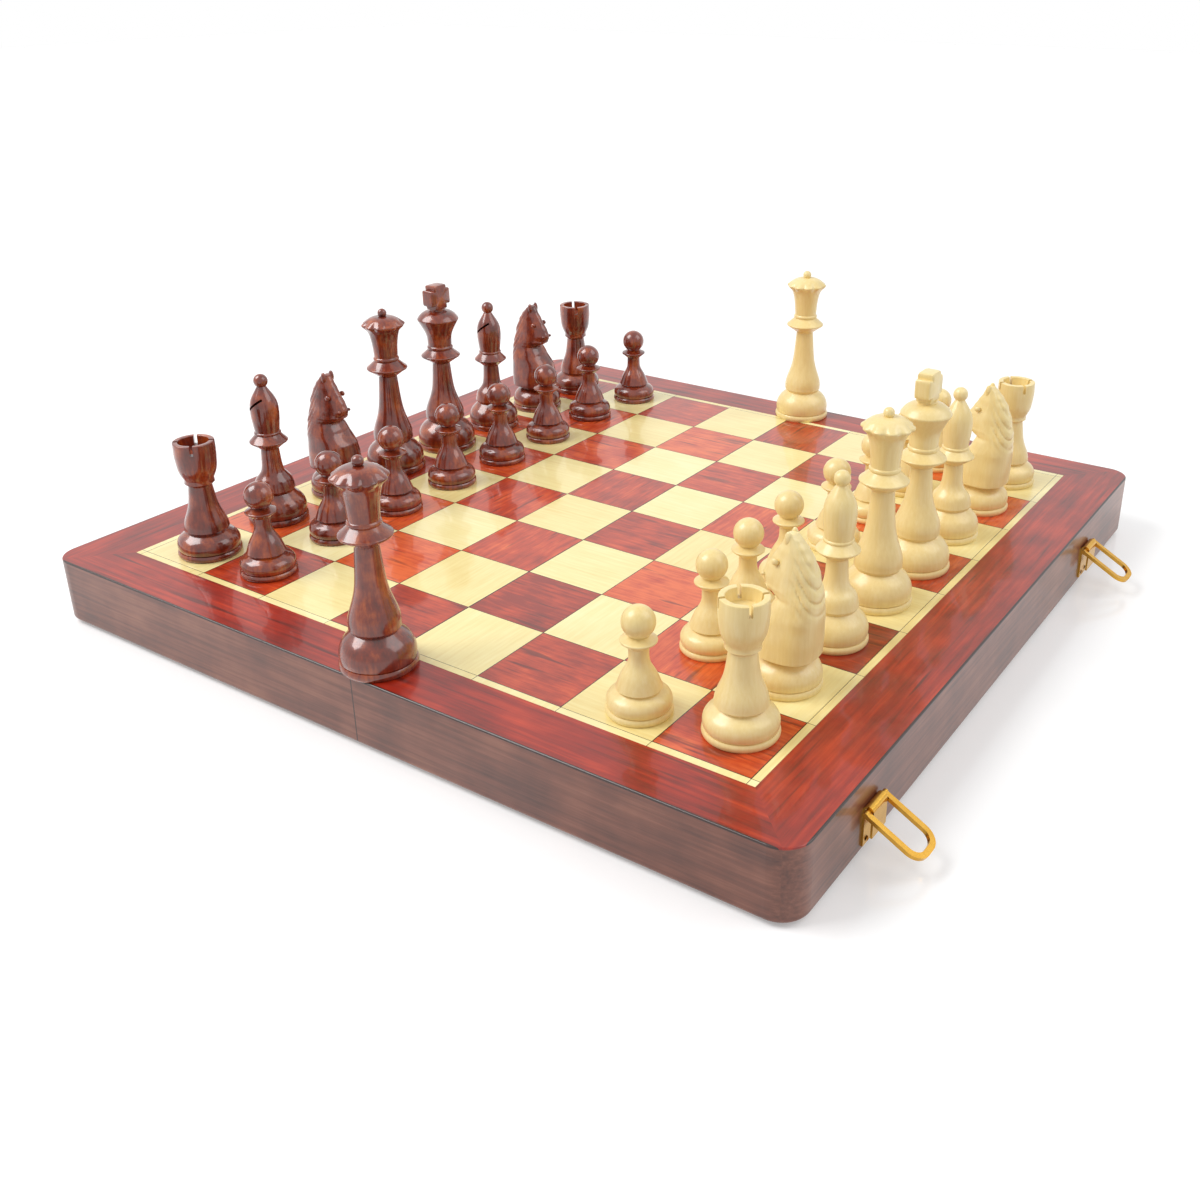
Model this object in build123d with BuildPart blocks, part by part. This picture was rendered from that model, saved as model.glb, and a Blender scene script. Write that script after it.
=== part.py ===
from build123d import *
import math
import os

# A folding chess and backgammon case, opened flat with the chess side up.
# +X points across the fold to the clasp side, +Y along the fold, +Z up.
# The origin is on the table, under the middle of the whole set's box.

# Chess field and border, as seen from above
SQUARE = 40.0
FILES = 8
RANKS_PER_HALF = 4
STRINGING_WIDTH = 3.4
END_BORDER = 28.4
SIDE_BORDER = 23.7
GLUE_LINE = 0.1

# Case
CASE_DEPTH = 30.0
WALL = 9.0
SPINE_WALL = 9.0
CORNER_RADIUS = 11.0
INNER_CORNER_RADIUS = 2.0
RIM_ROUNDING = 1.5
PLY = 3.2
VENEER = 0.8
EDGE_ROUNDING = 0.6

# Backgammon field on the inside of each half
LINING = 1.2
LINING_CLEARANCE = 0.2
POINT_DEPTH = 0.6
POINTS_PER_SIDE = 6
POINT_GAP = 1.2
POINT_LENGTH = 146.0

# Hinges, two, let into the rims of the spine walls
HINGE_Y = 110.0
HINGE_LENGTH = 40.0
BARREL_RADIUS = 1.6
BARREL_CLEARANCE = 0.3
PIN_RADIUS = 0.8
PIN_CLEARANCE = 0.05
KNUCKLES = 5
KNUCKLE_GAP = 0.2
LEAF = 1.0
LEAF_WIDTH = 8.0
LEAF_SEAT_CLEARANCE = 0.1

# Wood screws, the same for all the brass fittings
SCREW_RADIUS = 1.0
SCREW_LENGTH = 7.0
SCREW_HEAD_RADIUS = 1.9
SCREW_HEAD_HEIGHT = 0.8
SCREW_CLEARANCE = 0.04
COUNTERSINK = math.degrees(math.atan2(SCREW_HEAD_RADIUS - SCREW_RADIUS, SCREW_HEAD_HEIGHT))
ROUND_HEAD_RADIUS = 1.4
ROUND_HEAD_TAPER = 30.0
LEAF_SCREW_SPACING = 13.0
LEAF_SCREW_INSET = 5.2

# Swing clasps on the clasp side, hooks for them on the other end
CLASP_NEAR_Y = -134.0
CLASP_FAR_Y = 110.0
STRIP = 0.8
CLASP_WIDTH = 11.0
CLASP_HEIGHT = 15.0
CLASP_FRONT_HEIGHT = 10.4
CLASP_DROP = 12.4
LOOP_BAR_RADIUS = 1.1
LOOP_CLEARANCE = 0.1
LOOP_LENGTH = 24.0
LOOP_INNER_WIDTH = 12.0
LOOP_ARM = 2.3
LOOP_THICKNESS = 1.6
LOOP_DROOP = 29.0
LOOP_TIP_RADIUS = 6.5
CLASP_SCREW_SPACING = 6.2
CLASP_SCREW_RISE = 2.2
HOOK_WIDTH = 7.0
HOOK_REACH = 4.0
HOOK_HEIGHT = 9.4
HOOK_LIFT = 1.0
HOOK_CURL = 2.4
HOOK_SCREW_RISE = 7.2

# Heights of the board's layers above the table
RIM_Z = BARREL_RADIUS
TOP_Z = RIM_Z + CASE_DEPTH
VENEER_Z = TOP_Z - VENEER
PLY_Z = VENEER_Z - PLY
LINING_Z = PLY_Z - LINING

# Plan of one half
HALF_LENGTH = RANKS_PER_HALF * SQUARE + STRINGING_WIDTH + END_BORDER
HALF_WIDTH = FILES * SQUARE / 2 + STRINGING_WIDTH + SIDE_BORDER
FIELD_X = RANKS_PER_HALF * SQUARE
FIELD_Y = FILES * SQUARE / 2

# Clasp places that follow from the sizes
CLASP_PIVOT_OUT = STRIP + LOOP_CLEARANCE + LOOP_BAR_RADIUS
CLASP_PIVOT_Z = TOP_Z - CLASP_DROP
LOOP_REACH = (
    CLASP_PIVOT_OUT
    + LOOP_LENGTH * math.cos(math.radians(LOOP_DROOP))
    + LOOP_THICKNESS / 2 * math.sin(math.radians(LOOP_DROOP))
)
LOOP_WIDTH = LOOP_INNER_WIDTH + 2 * LOOP_ARM

# The fold lies off the origin, because the loops reach further than the hooks
FOLD_X = -(LOOP_REACH - HOOK_REACH) / 2

# Chess pieces: foot radius and whole height of each kind
PAWN_FOOT, PAWN_HEIGHT = 12.5, 42.8
ROOK_FOOT, ROOK_HEIGHT = 14.2, 54.0
KNIGHT_FOOT, KNIGHT_HEIGHT = 14.4, 63.4
BISHOP_FOOT, BISHOP_HEIGHT = 14.2, 72.6
QUEEN_FOOT, QUEEN_HEIGHT = 15.4, 86.2
KING_FOOT, KING_HEIGHT = 16.0, 90.6

# The two spare queens stand on the border over the fold
SPARE_QUEEN_OVERHANG = 1.9
SPARE_QUEEN_X = 2.0
SPARE_QUEEN_Y = HALF_WIDTH + SPARE_QUEEN_OVERHANG - QUEEN_FOOT

# Pieces that stand a little off the middle of their squares
OFF_CENTRE = {
    "dark_rook_near": (4.0, -3.4),
    "dark_pawn_1": (3.0, -2.8),
    "dark_pawn_7": (-2.7, 3.3),
    "dark_pawn_8": (1.3, 3.7),
    "light_rook_near": (2.8, 2.4),
    "light_pawn_1": (5.0, -5.8),
    "light_pawn_2": (2.8, 7.0),
    "light_pawn_4": (0.0, -5.6),
}

DARK, LIGHT = -1, 1
SIDE_NAMES = {DARK: "dark", LIGHT: "light"}

os.makedirs("parts", exist_ok=True)


def write(part, name):
    """Label one node's solids and write them to their own file."""
    part.label = name
    export_step(part, f"parts/{name}.step")


def half_outline(side):
    """Plan of one half: straight at the fold, rounded at the two outer corners."""
    with BuildSketch() as plan:
        with Locations((FOLD_X + side * HALF_LENGTH / 2, 0)):
            Rectangle(HALF_LENGTH, 2 * HALF_WIDTH)
        fillet(plan.vertices().filter_by(lambda v: abs(v.X - FOLD_X) > WALL), CORNER_RADIUS)
    return plan.sketch


def inner_rectangle(side, clearance=0.0):
    """Plan of the space inside one half's walls, drawn into the current sketch."""
    length = HALF_LENGTH - WALL - SPINE_WALL - 2 * clearance
    middle = FOLD_X + side * (HALF_LENGTH - WALL + SPINE_WALL) / 2
    with Locations((middle, 0)):
        RectangleRounded(length, 2 * (HALF_WIDTH - WALL - clearance), INNER_CORNER_RADIUS)


def leaf_screw_places(side):
    """Centres of the hinge screws of one half, in plan."""
    x = FOLD_X + side * LEAF_SCREW_INSET
    return [(x, y + step * LEAF_SCREW_SPACING) for y in (-HINGE_Y, HINGE_Y) for step in (-1, 0, 1)]


def wall_plane(side, y, z):
    """Plane on the outer end face of one half, looking outwards, at a place on it."""
    return Plane(origin=(FOLD_X + side * HALF_LENGTH, y, z), x_dir=(0, side, 0), z_dir=(side, 0, 0))


def end_screw_places(side):
    """Planes of the screws in the end wall: two to a clasp, one to a hook."""
    places = []
    for y in (CLASP_NEAR_Y, CLASP_FAR_Y):
        if side == LIGHT:
            z = CLASP_PIVOT_Z - CLASP_HEIGHT + CLASP_SCREW_RISE
            places += [wall_plane(side, y + step * CLASP_SCREW_SPACING / 2, z) for step in (-1, 1)]
        else:
            places.append(wall_plane(side, y, RIM_Z + HOOK_LIFT + HOOK_SCREW_RISE))
    return places


def case_frame(side):
    """Four walls of one half, with the hinge seats and all the screw holes."""
    with BuildPart() as frame:
        with BuildSketch(Plane.XY.offset(RIM_Z)):
            add(half_outline(side))
        extrude(amount=PLY_Z - RIM_Z)
        rim = frame.faces().sort_by(Axis.Z)[0]
        fillet(rim.edges().filter_by(lambda e: abs(e.center().X - FOLD_X) > WALL / 2), RIM_ROUNDING)
        with BuildSketch(Plane.XY.offset(RIM_Z)):
            inner_rectangle(side)
        extrude(amount=PLY_Z - RIM_Z, mode=Mode.SUBTRACT)
        seat_width = LEAF_WIDTH + LEAF_SEAT_CLEARANCE
        with BuildSketch(Plane.XY.offset(RIM_Z)):
            seat_x = FOLD_X + side * seat_width / 2
            with Locations((seat_x, -HINGE_Y), (seat_x, HINGE_Y)):
                Rectangle(seat_width, HINGE_LENGTH + 2 * LEAF_SEAT_CLEARANCE)
        extrude(amount=LEAF + LEAF_SEAT_CLEARANCE, mode=Mode.SUBTRACT)
        for y in (-HINGE_Y, HINGE_Y):
            start = y + HINGE_LENGTH / 2 + BARREL_CLEARANCE
            with BuildSketch(Plane(origin=(FOLD_X, start, RIM_Z), z_dir=(0, -1, 0))):
                Circle(BARREL_RADIUS + BARREL_CLEARANCE)
            extrude(amount=HINGE_LENGTH + 2 * BARREL_CLEARANCE, mode=Mode.SUBTRACT)
        with BuildSketch(Plane.XY.offset(RIM_Z)):
            with Locations(*leaf_screw_places(side)):
                Circle(SCREW_RADIUS + SCREW_CLEARANCE)
        extrude(amount=SCREW_LENGTH, mode=Mode.SUBTRACT)
        for place in end_screw_places(side):
            with BuildSketch(place):
                Circle(SCREW_RADIUS + SCREW_CLEARANCE)
            extrude(amount=-SCREW_LENGTH, mode=Mode.SUBTRACT)
    return frame.part


def ply_panel(side):
    """Plywood top of one half, glued over the walls."""
    with BuildPart() as panel:
        with BuildSketch(Plane.XY.offset(PLY_Z)):
            add(half_outline(side))
        extrude(amount=PLY)
    return panel.part


def border_veneer(side):
    """Border round three sides of the chess field, with its outer edge eased."""
    with BuildPart() as border:
        with BuildSketch(Plane.XY.offset(VENEER_Z)):
            add(half_outline(side))
            reach = FIELD_X + STRINGING_WIDTH
            with Locations((FOLD_X + side * reach / 2, 0)):
                Rectangle(reach, 2 * (FIELD_Y + STRINGING_WIDTH), mode=Mode.SUBTRACT)
        extrude(amount=VENEER)
        top = border.faces().sort_by(Axis.Z)[-1]
        edges = top.edges().filter_by(
            lambda e: abs(e.center().Y) > HALF_WIDTH - CORNER_RADIUS
            or abs(e.center().X - FOLD_X) > HALF_LENGTH - CORNER_RADIUS
        )
        fillet(edges, EDGE_ROUNDING)
    return border.part


def square_places(side, maple):
    """Centres of one half's squares of one wood. The corner by the dark rook is maple."""
    places = []
    for rank in range(RANKS_PER_HALF):
        for file in range(FILES):
            x = FOLD_X + side * (rank + 0.5) * SQUARE
            y = (file + 0.5) * SQUARE - FIELD_Y
            row = RANKS_PER_HALF - 1 - rank if side == DARK else RANKS_PER_HALF + rank
            if ((row + file) % 2 == 0) == maple:
                places.append((x, y))
    return places


def inlaid_squares(side, maple):
    """One half's squares of one wood, and the pale stringing with the maple ones."""
    with BuildPart() as inlay:
        with BuildSketch(Plane.XY.offset(VENEER_Z)):
            with Locations(*square_places(side, maple)):
                Rectangle(SQUARE - GLUE_LINE, SQUARE - GLUE_LINE)
            if maple:
                reach = FIELD_X + STRINGING_WIDTH - GLUE_LINE
                with Locations((FOLD_X + side * reach / 2, 0)):
                    Rectangle(reach, 2 * (FIELD_Y + STRINGING_WIDTH - GLUE_LINE))
                with Locations((FOLD_X + side * FIELD_X / 2, 0)):
                    Rectangle(FIELD_X, 2 * FIELD_Y, mode=Mode.SUBTRACT)
                with Locations(*square_places(side, maple)):
                    Rectangle(SQUARE - GLUE_LINE, SQUARE - GLUE_LINE)
        extrude(amount=VENEER)
    return inlay.part


def point_triangles(side, pale):
    """One half's backgammon points of one colour, drawn into the current sketch."""
    inner_length = HALF_LENGTH - WALL - SPINE_WALL
    pitch = inner_length / POINTS_PER_SIDE
    edge = HALF_WIDTH - WALL - INNER_CORNER_RADIUS
    for index in range(POINTS_PER_SIDE):
        x = FOLD_X + side * (SPINE_WALL + (index + 0.5) * pitch)
        for end in (-1, 1):
            if (index % 2 == 0) == (pale == (end * side > 0)):
                left = (x - (pitch - POINT_GAP) / 2, end * edge)
                right = (x + (pitch - POINT_GAP) / 2, end * edge)
                tip = (x, end * (edge - POINT_LENGTH))
                corners = [left, right, tip] if end < 0 else [right, left, tip]
                Polygon(*corners, align=None)


def field_lining(side):
    """Backgammon field glued under the panel, with pockets for its points."""
    with BuildPart() as lining:
        with BuildSketch(Plane.XY.offset(LINING_Z)):
            inner_rectangle(side, LINING_CLEARANCE)
        extrude(amount=LINING)
        for pale in (True, False):
            with BuildSketch(Plane.XY.offset(LINING_Z)):
                point_triangles(side, pale)
            extrude(amount=POINT_DEPTH, mode=Mode.SUBTRACT)
    return lining.part


def field_points(side, pale):
    """One half's inlaid points of one colour."""
    with BuildPart() as points:
        with BuildSketch(Plane.XY.offset(LINING_Z)):
            point_triangles(side, pale)
        extrude(amount=POINT_DEPTH)
    return points.part


def cross_cylinder(x, z, start, end, radius, mode=Mode.ADD):
    """Add or cut a cylinder that runs along Y in the current part."""
    with BuildSketch(Plane(origin=(x, end, z), z_dir=(0, -1, 0)), mode=Mode.PRIVATE) as disc:
        Circle(radius)
    extrude(disc.sketch, amount=end - start, mode=mode)


def hinge_leaves(side):
    """Both leaves of one half, each with its share of the knuckles."""
    pitch = HINGE_LENGTH / KNUCKLES
    first = 0 if side == DARK else 1
    with BuildPart() as leaves:
        for y in (-HINGE_Y, HINGE_Y):
            near = BARREL_RADIUS + BARREL_CLEARANCE
            width = LEAF_WIDTH - near
            with BuildSketch(Plane.XY.offset(RIM_Z)):
                with Locations((FOLD_X + side * (near + width / 2), y)):
                    Rectangle(width, HINGE_LENGTH)
            extrude(amount=LEAF)
            for index in range(first, KNUCKLES, 2):
                start = y - HINGE_LENGTH / 2 + index * pitch + KNUCKLE_GAP / 2
                end = start + pitch - KNUCKLE_GAP
                with BuildSketch(Plane.XY.offset(RIM_Z)):
                    with Locations((FOLD_X + side * near / 2, (start + end) / 2)):
                        Rectangle(near, end - start)
                extrude(amount=LEAF)
                cross_cylinder(FOLD_X, RIM_Z, start, end, BARREL_RADIUS)
            hole = PIN_RADIUS + PIN_CLEARANCE
            ends = (y - HINGE_LENGTH / 2, y + HINGE_LENGTH / 2)
            cross_cylinder(FOLD_X, RIM_Z, *ends, hole, Mode.SUBTRACT)
        with BuildSketch(Plane.XY.offset(RIM_Z)):
            with Locations(*leaf_screw_places(side)):
                Circle(SCREW_RADIUS + SCREW_CLEARANCE)
        extrude(amount=LEAF, mode=Mode.SUBTRACT)
        with BuildSketch(Plane.XY.offset(RIM_Z)):
            with Locations(*leaf_screw_places(side)):
                Circle(SCREW_HEAD_RADIUS + SCREW_CLEARANCE)
        extrude(amount=SCREW_HEAD_HEIGHT, taper=COUNTERSINK, mode=Mode.SUBTRACT)
    return leaves.part


def hinge_pins():
    """Both hinge pins."""
    with BuildPart() as pins:
        for y in (-HINGE_Y, HINGE_Y):
            cross_cylinder(FOLD_X, RIM_Z, y - HINGE_LENGTH / 2, y + HINGE_LENGTH / 2, PIN_RADIUS)
    return pins.part


def brass_screws(side):
    """All the screws of one half: flat heads in the rims, round heads on the end wall."""
    with BuildPart() as screws:
        with BuildSketch(Plane.XY.offset(RIM_Z)):
            with Locations(*leaf_screw_places(side)):
                Circle(SCREW_RADIUS)
        extrude(amount=SCREW_LENGTH)
        with BuildSketch(Plane.XY.offset(RIM_Z)):
            with Locations(*leaf_screw_places(side)):
                Circle(SCREW_HEAD_RADIUS)
        extrude(amount=SCREW_HEAD_HEIGHT, taper=COUNTERSINK)
        for place in end_screw_places(side):
            with BuildSketch(place):
                Circle(SCREW_RADIUS)
            extrude(amount=-SCREW_LENGTH)
            with BuildSketch(place):
                Circle(SCREW_RADIUS)
            extrude(amount=STRIP)
            with BuildSketch(place.offset(STRIP)):
                Circle(ROUND_HEAD_RADIUS)
            extrude(amount=SCREW_HEAD_HEIGHT, taper=ROUND_HEAD_TAPER)
    return screws.part


def clasp_plates():
    """Two bent strips: flat on the wall, rolled over the loop's bar and down in front."""
    wall_x = FOLD_X + HALF_LENGTH
    roll_in = LOOP_BAR_RADIUS + LOOP_CLEARANCE
    roll_out = roll_in + STRIP
    centre = wall_x + CLASP_PIVOT_OUT
    with BuildPart() as plates:
        for y in (CLASP_NEAR_Y, CLASP_FAR_Y):
            corner = (centre, y + CLASP_WIDTH / 2, CLASP_PIVOT_Z)
            with BuildSketch(Plane(origin=corner, z_dir=(0, -1, 0), x_dir=(1, 0, 0))):
                with BuildLine():
                    Line((-roll_out, -CLASP_HEIGHT), (-roll_out, 0))
                    ThreePointArc((-roll_out, 0), (0, roll_out), (roll_out, 0))
                    Line((roll_out, 0), (roll_out, -CLASP_FRONT_HEIGHT))
                    Line((roll_out, -CLASP_FRONT_HEIGHT), (roll_in, -CLASP_FRONT_HEIGHT))
                    Line((roll_in, -CLASP_FRONT_HEIGHT), (roll_in, 0))
                    ThreePointArc((roll_in, 0), (0, roll_in), (-roll_in, 0))
                    Line((-roll_in, 0), (-roll_in, -CLASP_HEIGHT))
                    Line((-roll_in, -CLASP_HEIGHT), (-roll_out, -CLASP_HEIGHT))
                make_face()
            extrude(amount=CLASP_WIDTH)
        for place in end_screw_places(LIGHT):
            with BuildSketch(place):
                Circle(SCREW_RADIUS + SCREW_CLEARANCE)
            extrude(amount=STRIP, mode=Mode.SUBTRACT)
    return plates.part


def clasp_loop(y):
    """One loop: a round bar in the rolled strip, two flat arms and a rounded tip."""
    droop = math.radians(LOOP_DROOP)
    pivot_x = FOLD_X + HALF_LENGTH + CLASP_PIVOT_OUT
    flat = Plane(
        origin=(pivot_x, y, CLASP_PIVOT_Z),
        x_dir=(math.cos(droop), 0, -math.sin(droop)),
        z_dir=(math.sin(droop), 0, math.cos(droop)),
    )
    with BuildPart() as loop:
        with BuildSketch(flat) as ring:
            with Locations((LOOP_LENGTH / 2, 0)):
                Rectangle(LOOP_LENGTH, LOOP_WIDTH)
            fillet(ring.vertices().group_by(Axis.X)[-1], LOOP_TIP_RADIUS)
            inner = LOOP_LENGTH - LOOP_ARM
            with BuildSketch(flat, mode=Mode.SUBTRACT) as slot:
                with Locations((inner / 2 - LOOP_BAR_RADIUS, 0)):
                    Rectangle(inner + 2 * LOOP_BAR_RADIUS, LOOP_INNER_WIDTH)
                fillet(slot.vertices().group_by(Axis.X)[-1], LOOP_TIP_RADIUS - LOOP_ARM)
        extrude(amount=LOOP_THICKNESS / 2, both=True)
        cross_cylinder(pivot_x, CLASP_PIVOT_Z, y - LOOP_WIDTH / 2, y + LOOP_WIDTH / 2, LOOP_BAR_RADIUS)
    return loop.part


def clasp_hooks():
    """Two bent hooks on the dark end wall that catch the loops' tips when the case is shut."""
    wall_x = FOLD_X - HALF_LENGTH
    with BuildPart() as hooks:
        for y in (CLASP_NEAR_Y, CLASP_FAR_Y):
            corner = (wall_x, y - HOOK_WIDTH / 2, RIM_Z + HOOK_LIFT)
            with BuildSketch(Plane(origin=corner, z_dir=(0, 1, 0), x_dir=(-1, 0, 0))):
                with BuildLine():
                    Polyline(
                        (0, 0),
                        (HOOK_REACH, 0),
                        (HOOK_REACH, HOOK_CURL),
                        (HOOK_REACH - STRIP, HOOK_CURL),
                        (HOOK_REACH - STRIP, STRIP),
                        (STRIP, STRIP),
                        (STRIP, HOOK_HEIGHT),
                        (0, HOOK_HEIGHT),
                        close=True,
                    )
                make_face()
            extrude(amount=HOOK_WIDTH)
        for place in end_screw_places(DARK):
            with BuildSketch(place):
                Circle(SCREW_RADIUS + SCREW_CLEARANCE)
            extrude(amount=STRIP, mode=Mode.SUBTRACT)
    return hooks.part


def foot_line(foot, disc, bulge, cove, skirt):
    """Outline of a turned foot, from the axis out and up to the top of its skirt.

    bulge, cove and skirt are (radius, height) of the rounded swell's upper end,
    of the hollow above it and of the skirt's lower edge.
    """
    Line((0, 0), (foot - 0.6, 0))
    ThreePointArc((foot - 0.6, 0), (foot, disc / 2), (foot - 0.6, disc))
    middle = ((foot + bulge[0]) / 2 + 0.9, (disc + bulge[1]) / 2 + 0.6)
    ThreePointArc((foot - 0.6, disc), middle, bulge)
    Line(bulge, cove)
    Line(cove, skirt)


def turned(draw):
    """Revolve the outline that draw makes, on the axis of the piece."""
    with BuildPart() as piece:
        with BuildSketch(Plane.XZ):
            with BuildLine():
                draw()
            make_face()
        revolve(axis=Axis.Z)
    return piece.part


def pawn():
    """Pawn: foot, short waisted stem, thin collar and ball."""
    ball = 6.3
    collar_z = 29.3
    neck = (3.6, collar_z + 1.9)
    centre_z = PAWN_HEIGHT - ball
    ball_start = (math.sqrt(ball**2 - (centre_z - neck[1] - 0.6) ** 2), neck[1] + 0.6)

    def draw():
        skirt = (8.6, 10.4)
        foot_line(PAWN_FOOT, 2.6, (9.6, 8.6), (7.8, 9.6), skirt)
        Spline(skirt, (6.7, 15.4), (4.1, 20.5), (3.7, 26.4))
        Line((3.7, 26.4), (6.6, collar_z - 0.5))
        ThreePointArc((6.6, collar_z - 0.5), (6.9, collar_z), (6.4, collar_z + 0.5))
        Line((6.4, collar_z + 0.5), neck)
        Line(neck, ball_start)
        ThreePointArc(ball_start, (ball, centre_z), (0, PAWN_HEIGHT))
        Line((0, PAWN_HEIGHT), (0, 0))

    return turned(draw)


def rook():
    """Rook: waisted tower with a hollow cup, cut by four narrow slots."""
    cup = 9.1
    bowl = 6.7
    bowl_depth = 5.0
    slot_width = 1.4
    slot_depth = 4.2

    def draw():
        skirt = (10.0, 12.6)
        foot_line(ROOK_FOOT, 2.8, (11.2, 9.8), (9.0, 11.4), skirt)
        Spline(skirt, (9.2, 16.4), (6.6, 23.4), (5.1, 33.2))
        Line((5.1, 33.2), (6.6, 34.6))
        Line((6.6, 34.6), (6.4, 36.2))
        Spline((6.4, 36.2), (8.3, 41.0), (cup, 48.0))
        Line((cup, 48.0), (cup - 0.3, ROOK_HEIGHT))
        Line((cup - 0.3, ROOK_HEIGHT), (bowl, ROOK_HEIGHT))
        Line((bowl, ROOK_HEIGHT), (bowl - 0.8, ROOK_HEIGHT - bowl_depth))
        Line((bowl - 0.8, ROOK_HEIGHT - bowl_depth), (0, ROOK_HEIGHT - bowl_depth))
        Line((0, ROOK_HEIGHT - bowl_depth), (0, 0))

    tower = turned(draw)
    with BuildPart() as finished:
        add(tower)
        with BuildSketch(Plane.XY.offset(ROOK_HEIGHT)):
            with Locations(Rotation(0, 0, 45)):
                Rectangle(2 * cup + 2, slot_width)
                Rectangle(slot_width, 2 * cup + 2)
        extrude(amount=-slot_depth, mode=Mode.SUBTRACT)
    return finished.part


def bishop():
    """Bishop: slim stem, two collars and a slit mitre with a small ball."""
    ball = 3.3
    ball_z = BISHOP_HEIGHT - ball
    tip = (2.1, ball_z - math.sqrt(ball**2 - 2.1**2))
    slit_width = 1.1
    slit_length = 9.5
    slit_depth = 5.5
    slit_z = 58.6

    def draw():
        skirt = (9.6, 16.0)
        foot_line(BISHOP_FOOT, 3.0, (11.0, 12.0), (8.8, 14.4), skirt)
        Spline(skirt, (8.4, 20.6), (5.2, 25.6), (4.2, 36.0))
        Line((4.2, 36.0), (8.5, 39.4))
        ThreePointArc((8.5, 39.4), (8.9, 39.9), (8.5, 40.4))
        Line((8.5, 40.4), (5.9, 43.4))
        ThreePointArc((5.9, 43.4), (6.2, 44.1), (5.7, 44.8))
        Spline((5.7, 44.8), (6.6, 53.6), (5.9, 60.0), tip)
        ThreePointArc(tip, (ball, ball_z), (0, BISHOP_HEIGHT))
        Line((0, BISHOP_HEIGHT), (0, 0))

    body = turned(draw)
    with BuildPart() as finished:
        add(body)
        slit = Plane(origin=(0, -3.4, slit_z), x_dir=(1, 0, 0), z_dir=(0, -0.75, 0.66))
        with BuildSketch(slit):
            with Locations(Rotation(0, 0, -38)):
                Rectangle(slit_length, slit_width)
        extrude(amount=slit_depth, both=True, mode=Mode.SUBTRACT)
    return finished.part


def queen():
    """Queen: tall stem, broad collar and a flared coronet under a low dome."""
    scallops = 10
    scallop_radius = 2.4
    scallop_offset = 1.2
    scallop_z = 74.0
    rim = 11.0
    ball = 2.3
    ball_z = QUEEN_HEIGHT - ball
    ball_neck = 1.7
    ball_start = (ball_neck, ball_z - math.sqrt(ball**2 - ball_neck**2))

    def draw():
        skirt = (10.2, 17.0)
        foot_line(QUEEN_FOOT, 3.2, (11.8, 13.2), (9.2, 15.4), skirt)
        Spline(skirt, (9.8, 22.0), (6.4, 33.4), (4.7, 50.8))
        Line((4.7, 50.8), (10.0, 54.6))
        ThreePointArc((10.0, 54.6), (10.4, 55.2), (9.9, 55.8))
        Line((9.9, 55.8), (6.2, 59.2))
        ThreePointArc((6.2, 59.2), (6.6, 60.2), (6.0, 61.2))
        Spline((6.0, 61.2), (6.6, 68.6), (8.0, 74.4), (rim, 78.0))
        Line((rim, 78.0), (rim - 1.4, 79.4))
        ThreePointArc((rim - 1.4, 79.4), (6.2, 81.6), ball_start)
        ThreePointArc(ball_start, (ball, ball_z), (0, QUEEN_HEIGHT))
        Line((0, QUEEN_HEIGHT), (0, 0))

    body = turned(draw)
    with BuildPart() as finished:
        add(body)
        with BuildSketch(Plane.XY.offset(scallop_z)):
            with PolarLocations(rim + scallop_offset, scallops):
                Circle(scallop_radius)
        extrude(amount=QUEEN_HEIGHT - scallop_z, mode=Mode.SUBTRACT)
    return finished.part


def king():
    """King: tall stem, broad collar, flared crown and a stout cross."""
    crown_top = 77.4
    cross_width = 14.2
    cross_depth = 7.4
    notch = 1.5
    cross_height = KING_HEIGHT - crown_top

    def draw():
        skirt = (10.4, 17.0)
        foot_line(KING_FOOT, 3.2, (12.2, 13.2), (9.4, 15.4), skirt)
        Spline(skirt, (10.0, 22.0), (6.2, 33.0), (4.7, 47.8))
        Line((4.7, 47.8), (10.0, 51.4))
        ThreePointArc((10.0, 51.4), (10.4, 52.0), (9.9, 52.6))
        Line((9.9, 52.6), (6.5, 55.6))
        ThreePointArc((6.5, 55.6), (6.9, 56.6), (6.3, 57.6))
        Spline((6.3, 57.6), (7.0, 64.0), (10.9, 72.0))
        Line((10.9, 72.0), (10.4, 73.2))
        ThreePointArc((10.4, 73.2), (8.0, 75.6), (4.2, 76.8))
        Line((4.2, 76.8), (4.2, crown_top + 0.6))
        Line((4.2, crown_top + 0.6), (0, crown_top + 0.6))
        Line((0, crown_top + 0.6), (0, 0))

    body = turned(draw)
    with BuildPart() as finished:
        add(body)
        middle_z = crown_top + cross_height / 2
        with BuildSketch(Plane(origin=(0, 0, middle_z), x_dir=(0, 1, 0), z_dir=(1, 0, 0))) as face:
            Rectangle(cross_width, cross_height)
            fillet(face.vertices(), 3.4)
            for right in (-1, 1):
                for up in (-1, 1):
                    tip = (right * 2.6, up * 2.2)
                    far_x = right * cross_width / 2
                    far_y = up * cross_height / 2
                    below = (far_x, far_y - up * notch)
                    beside = (far_x - right * notch, far_y)
                    with BuildLine():
                        Polyline(tip, below, (far_x, far_y), beside, close=True)
                    make_face(mode=Mode.SUBTRACT)
        extrude(amount=cross_depth / 2, both=True)
    return finished.part


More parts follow.
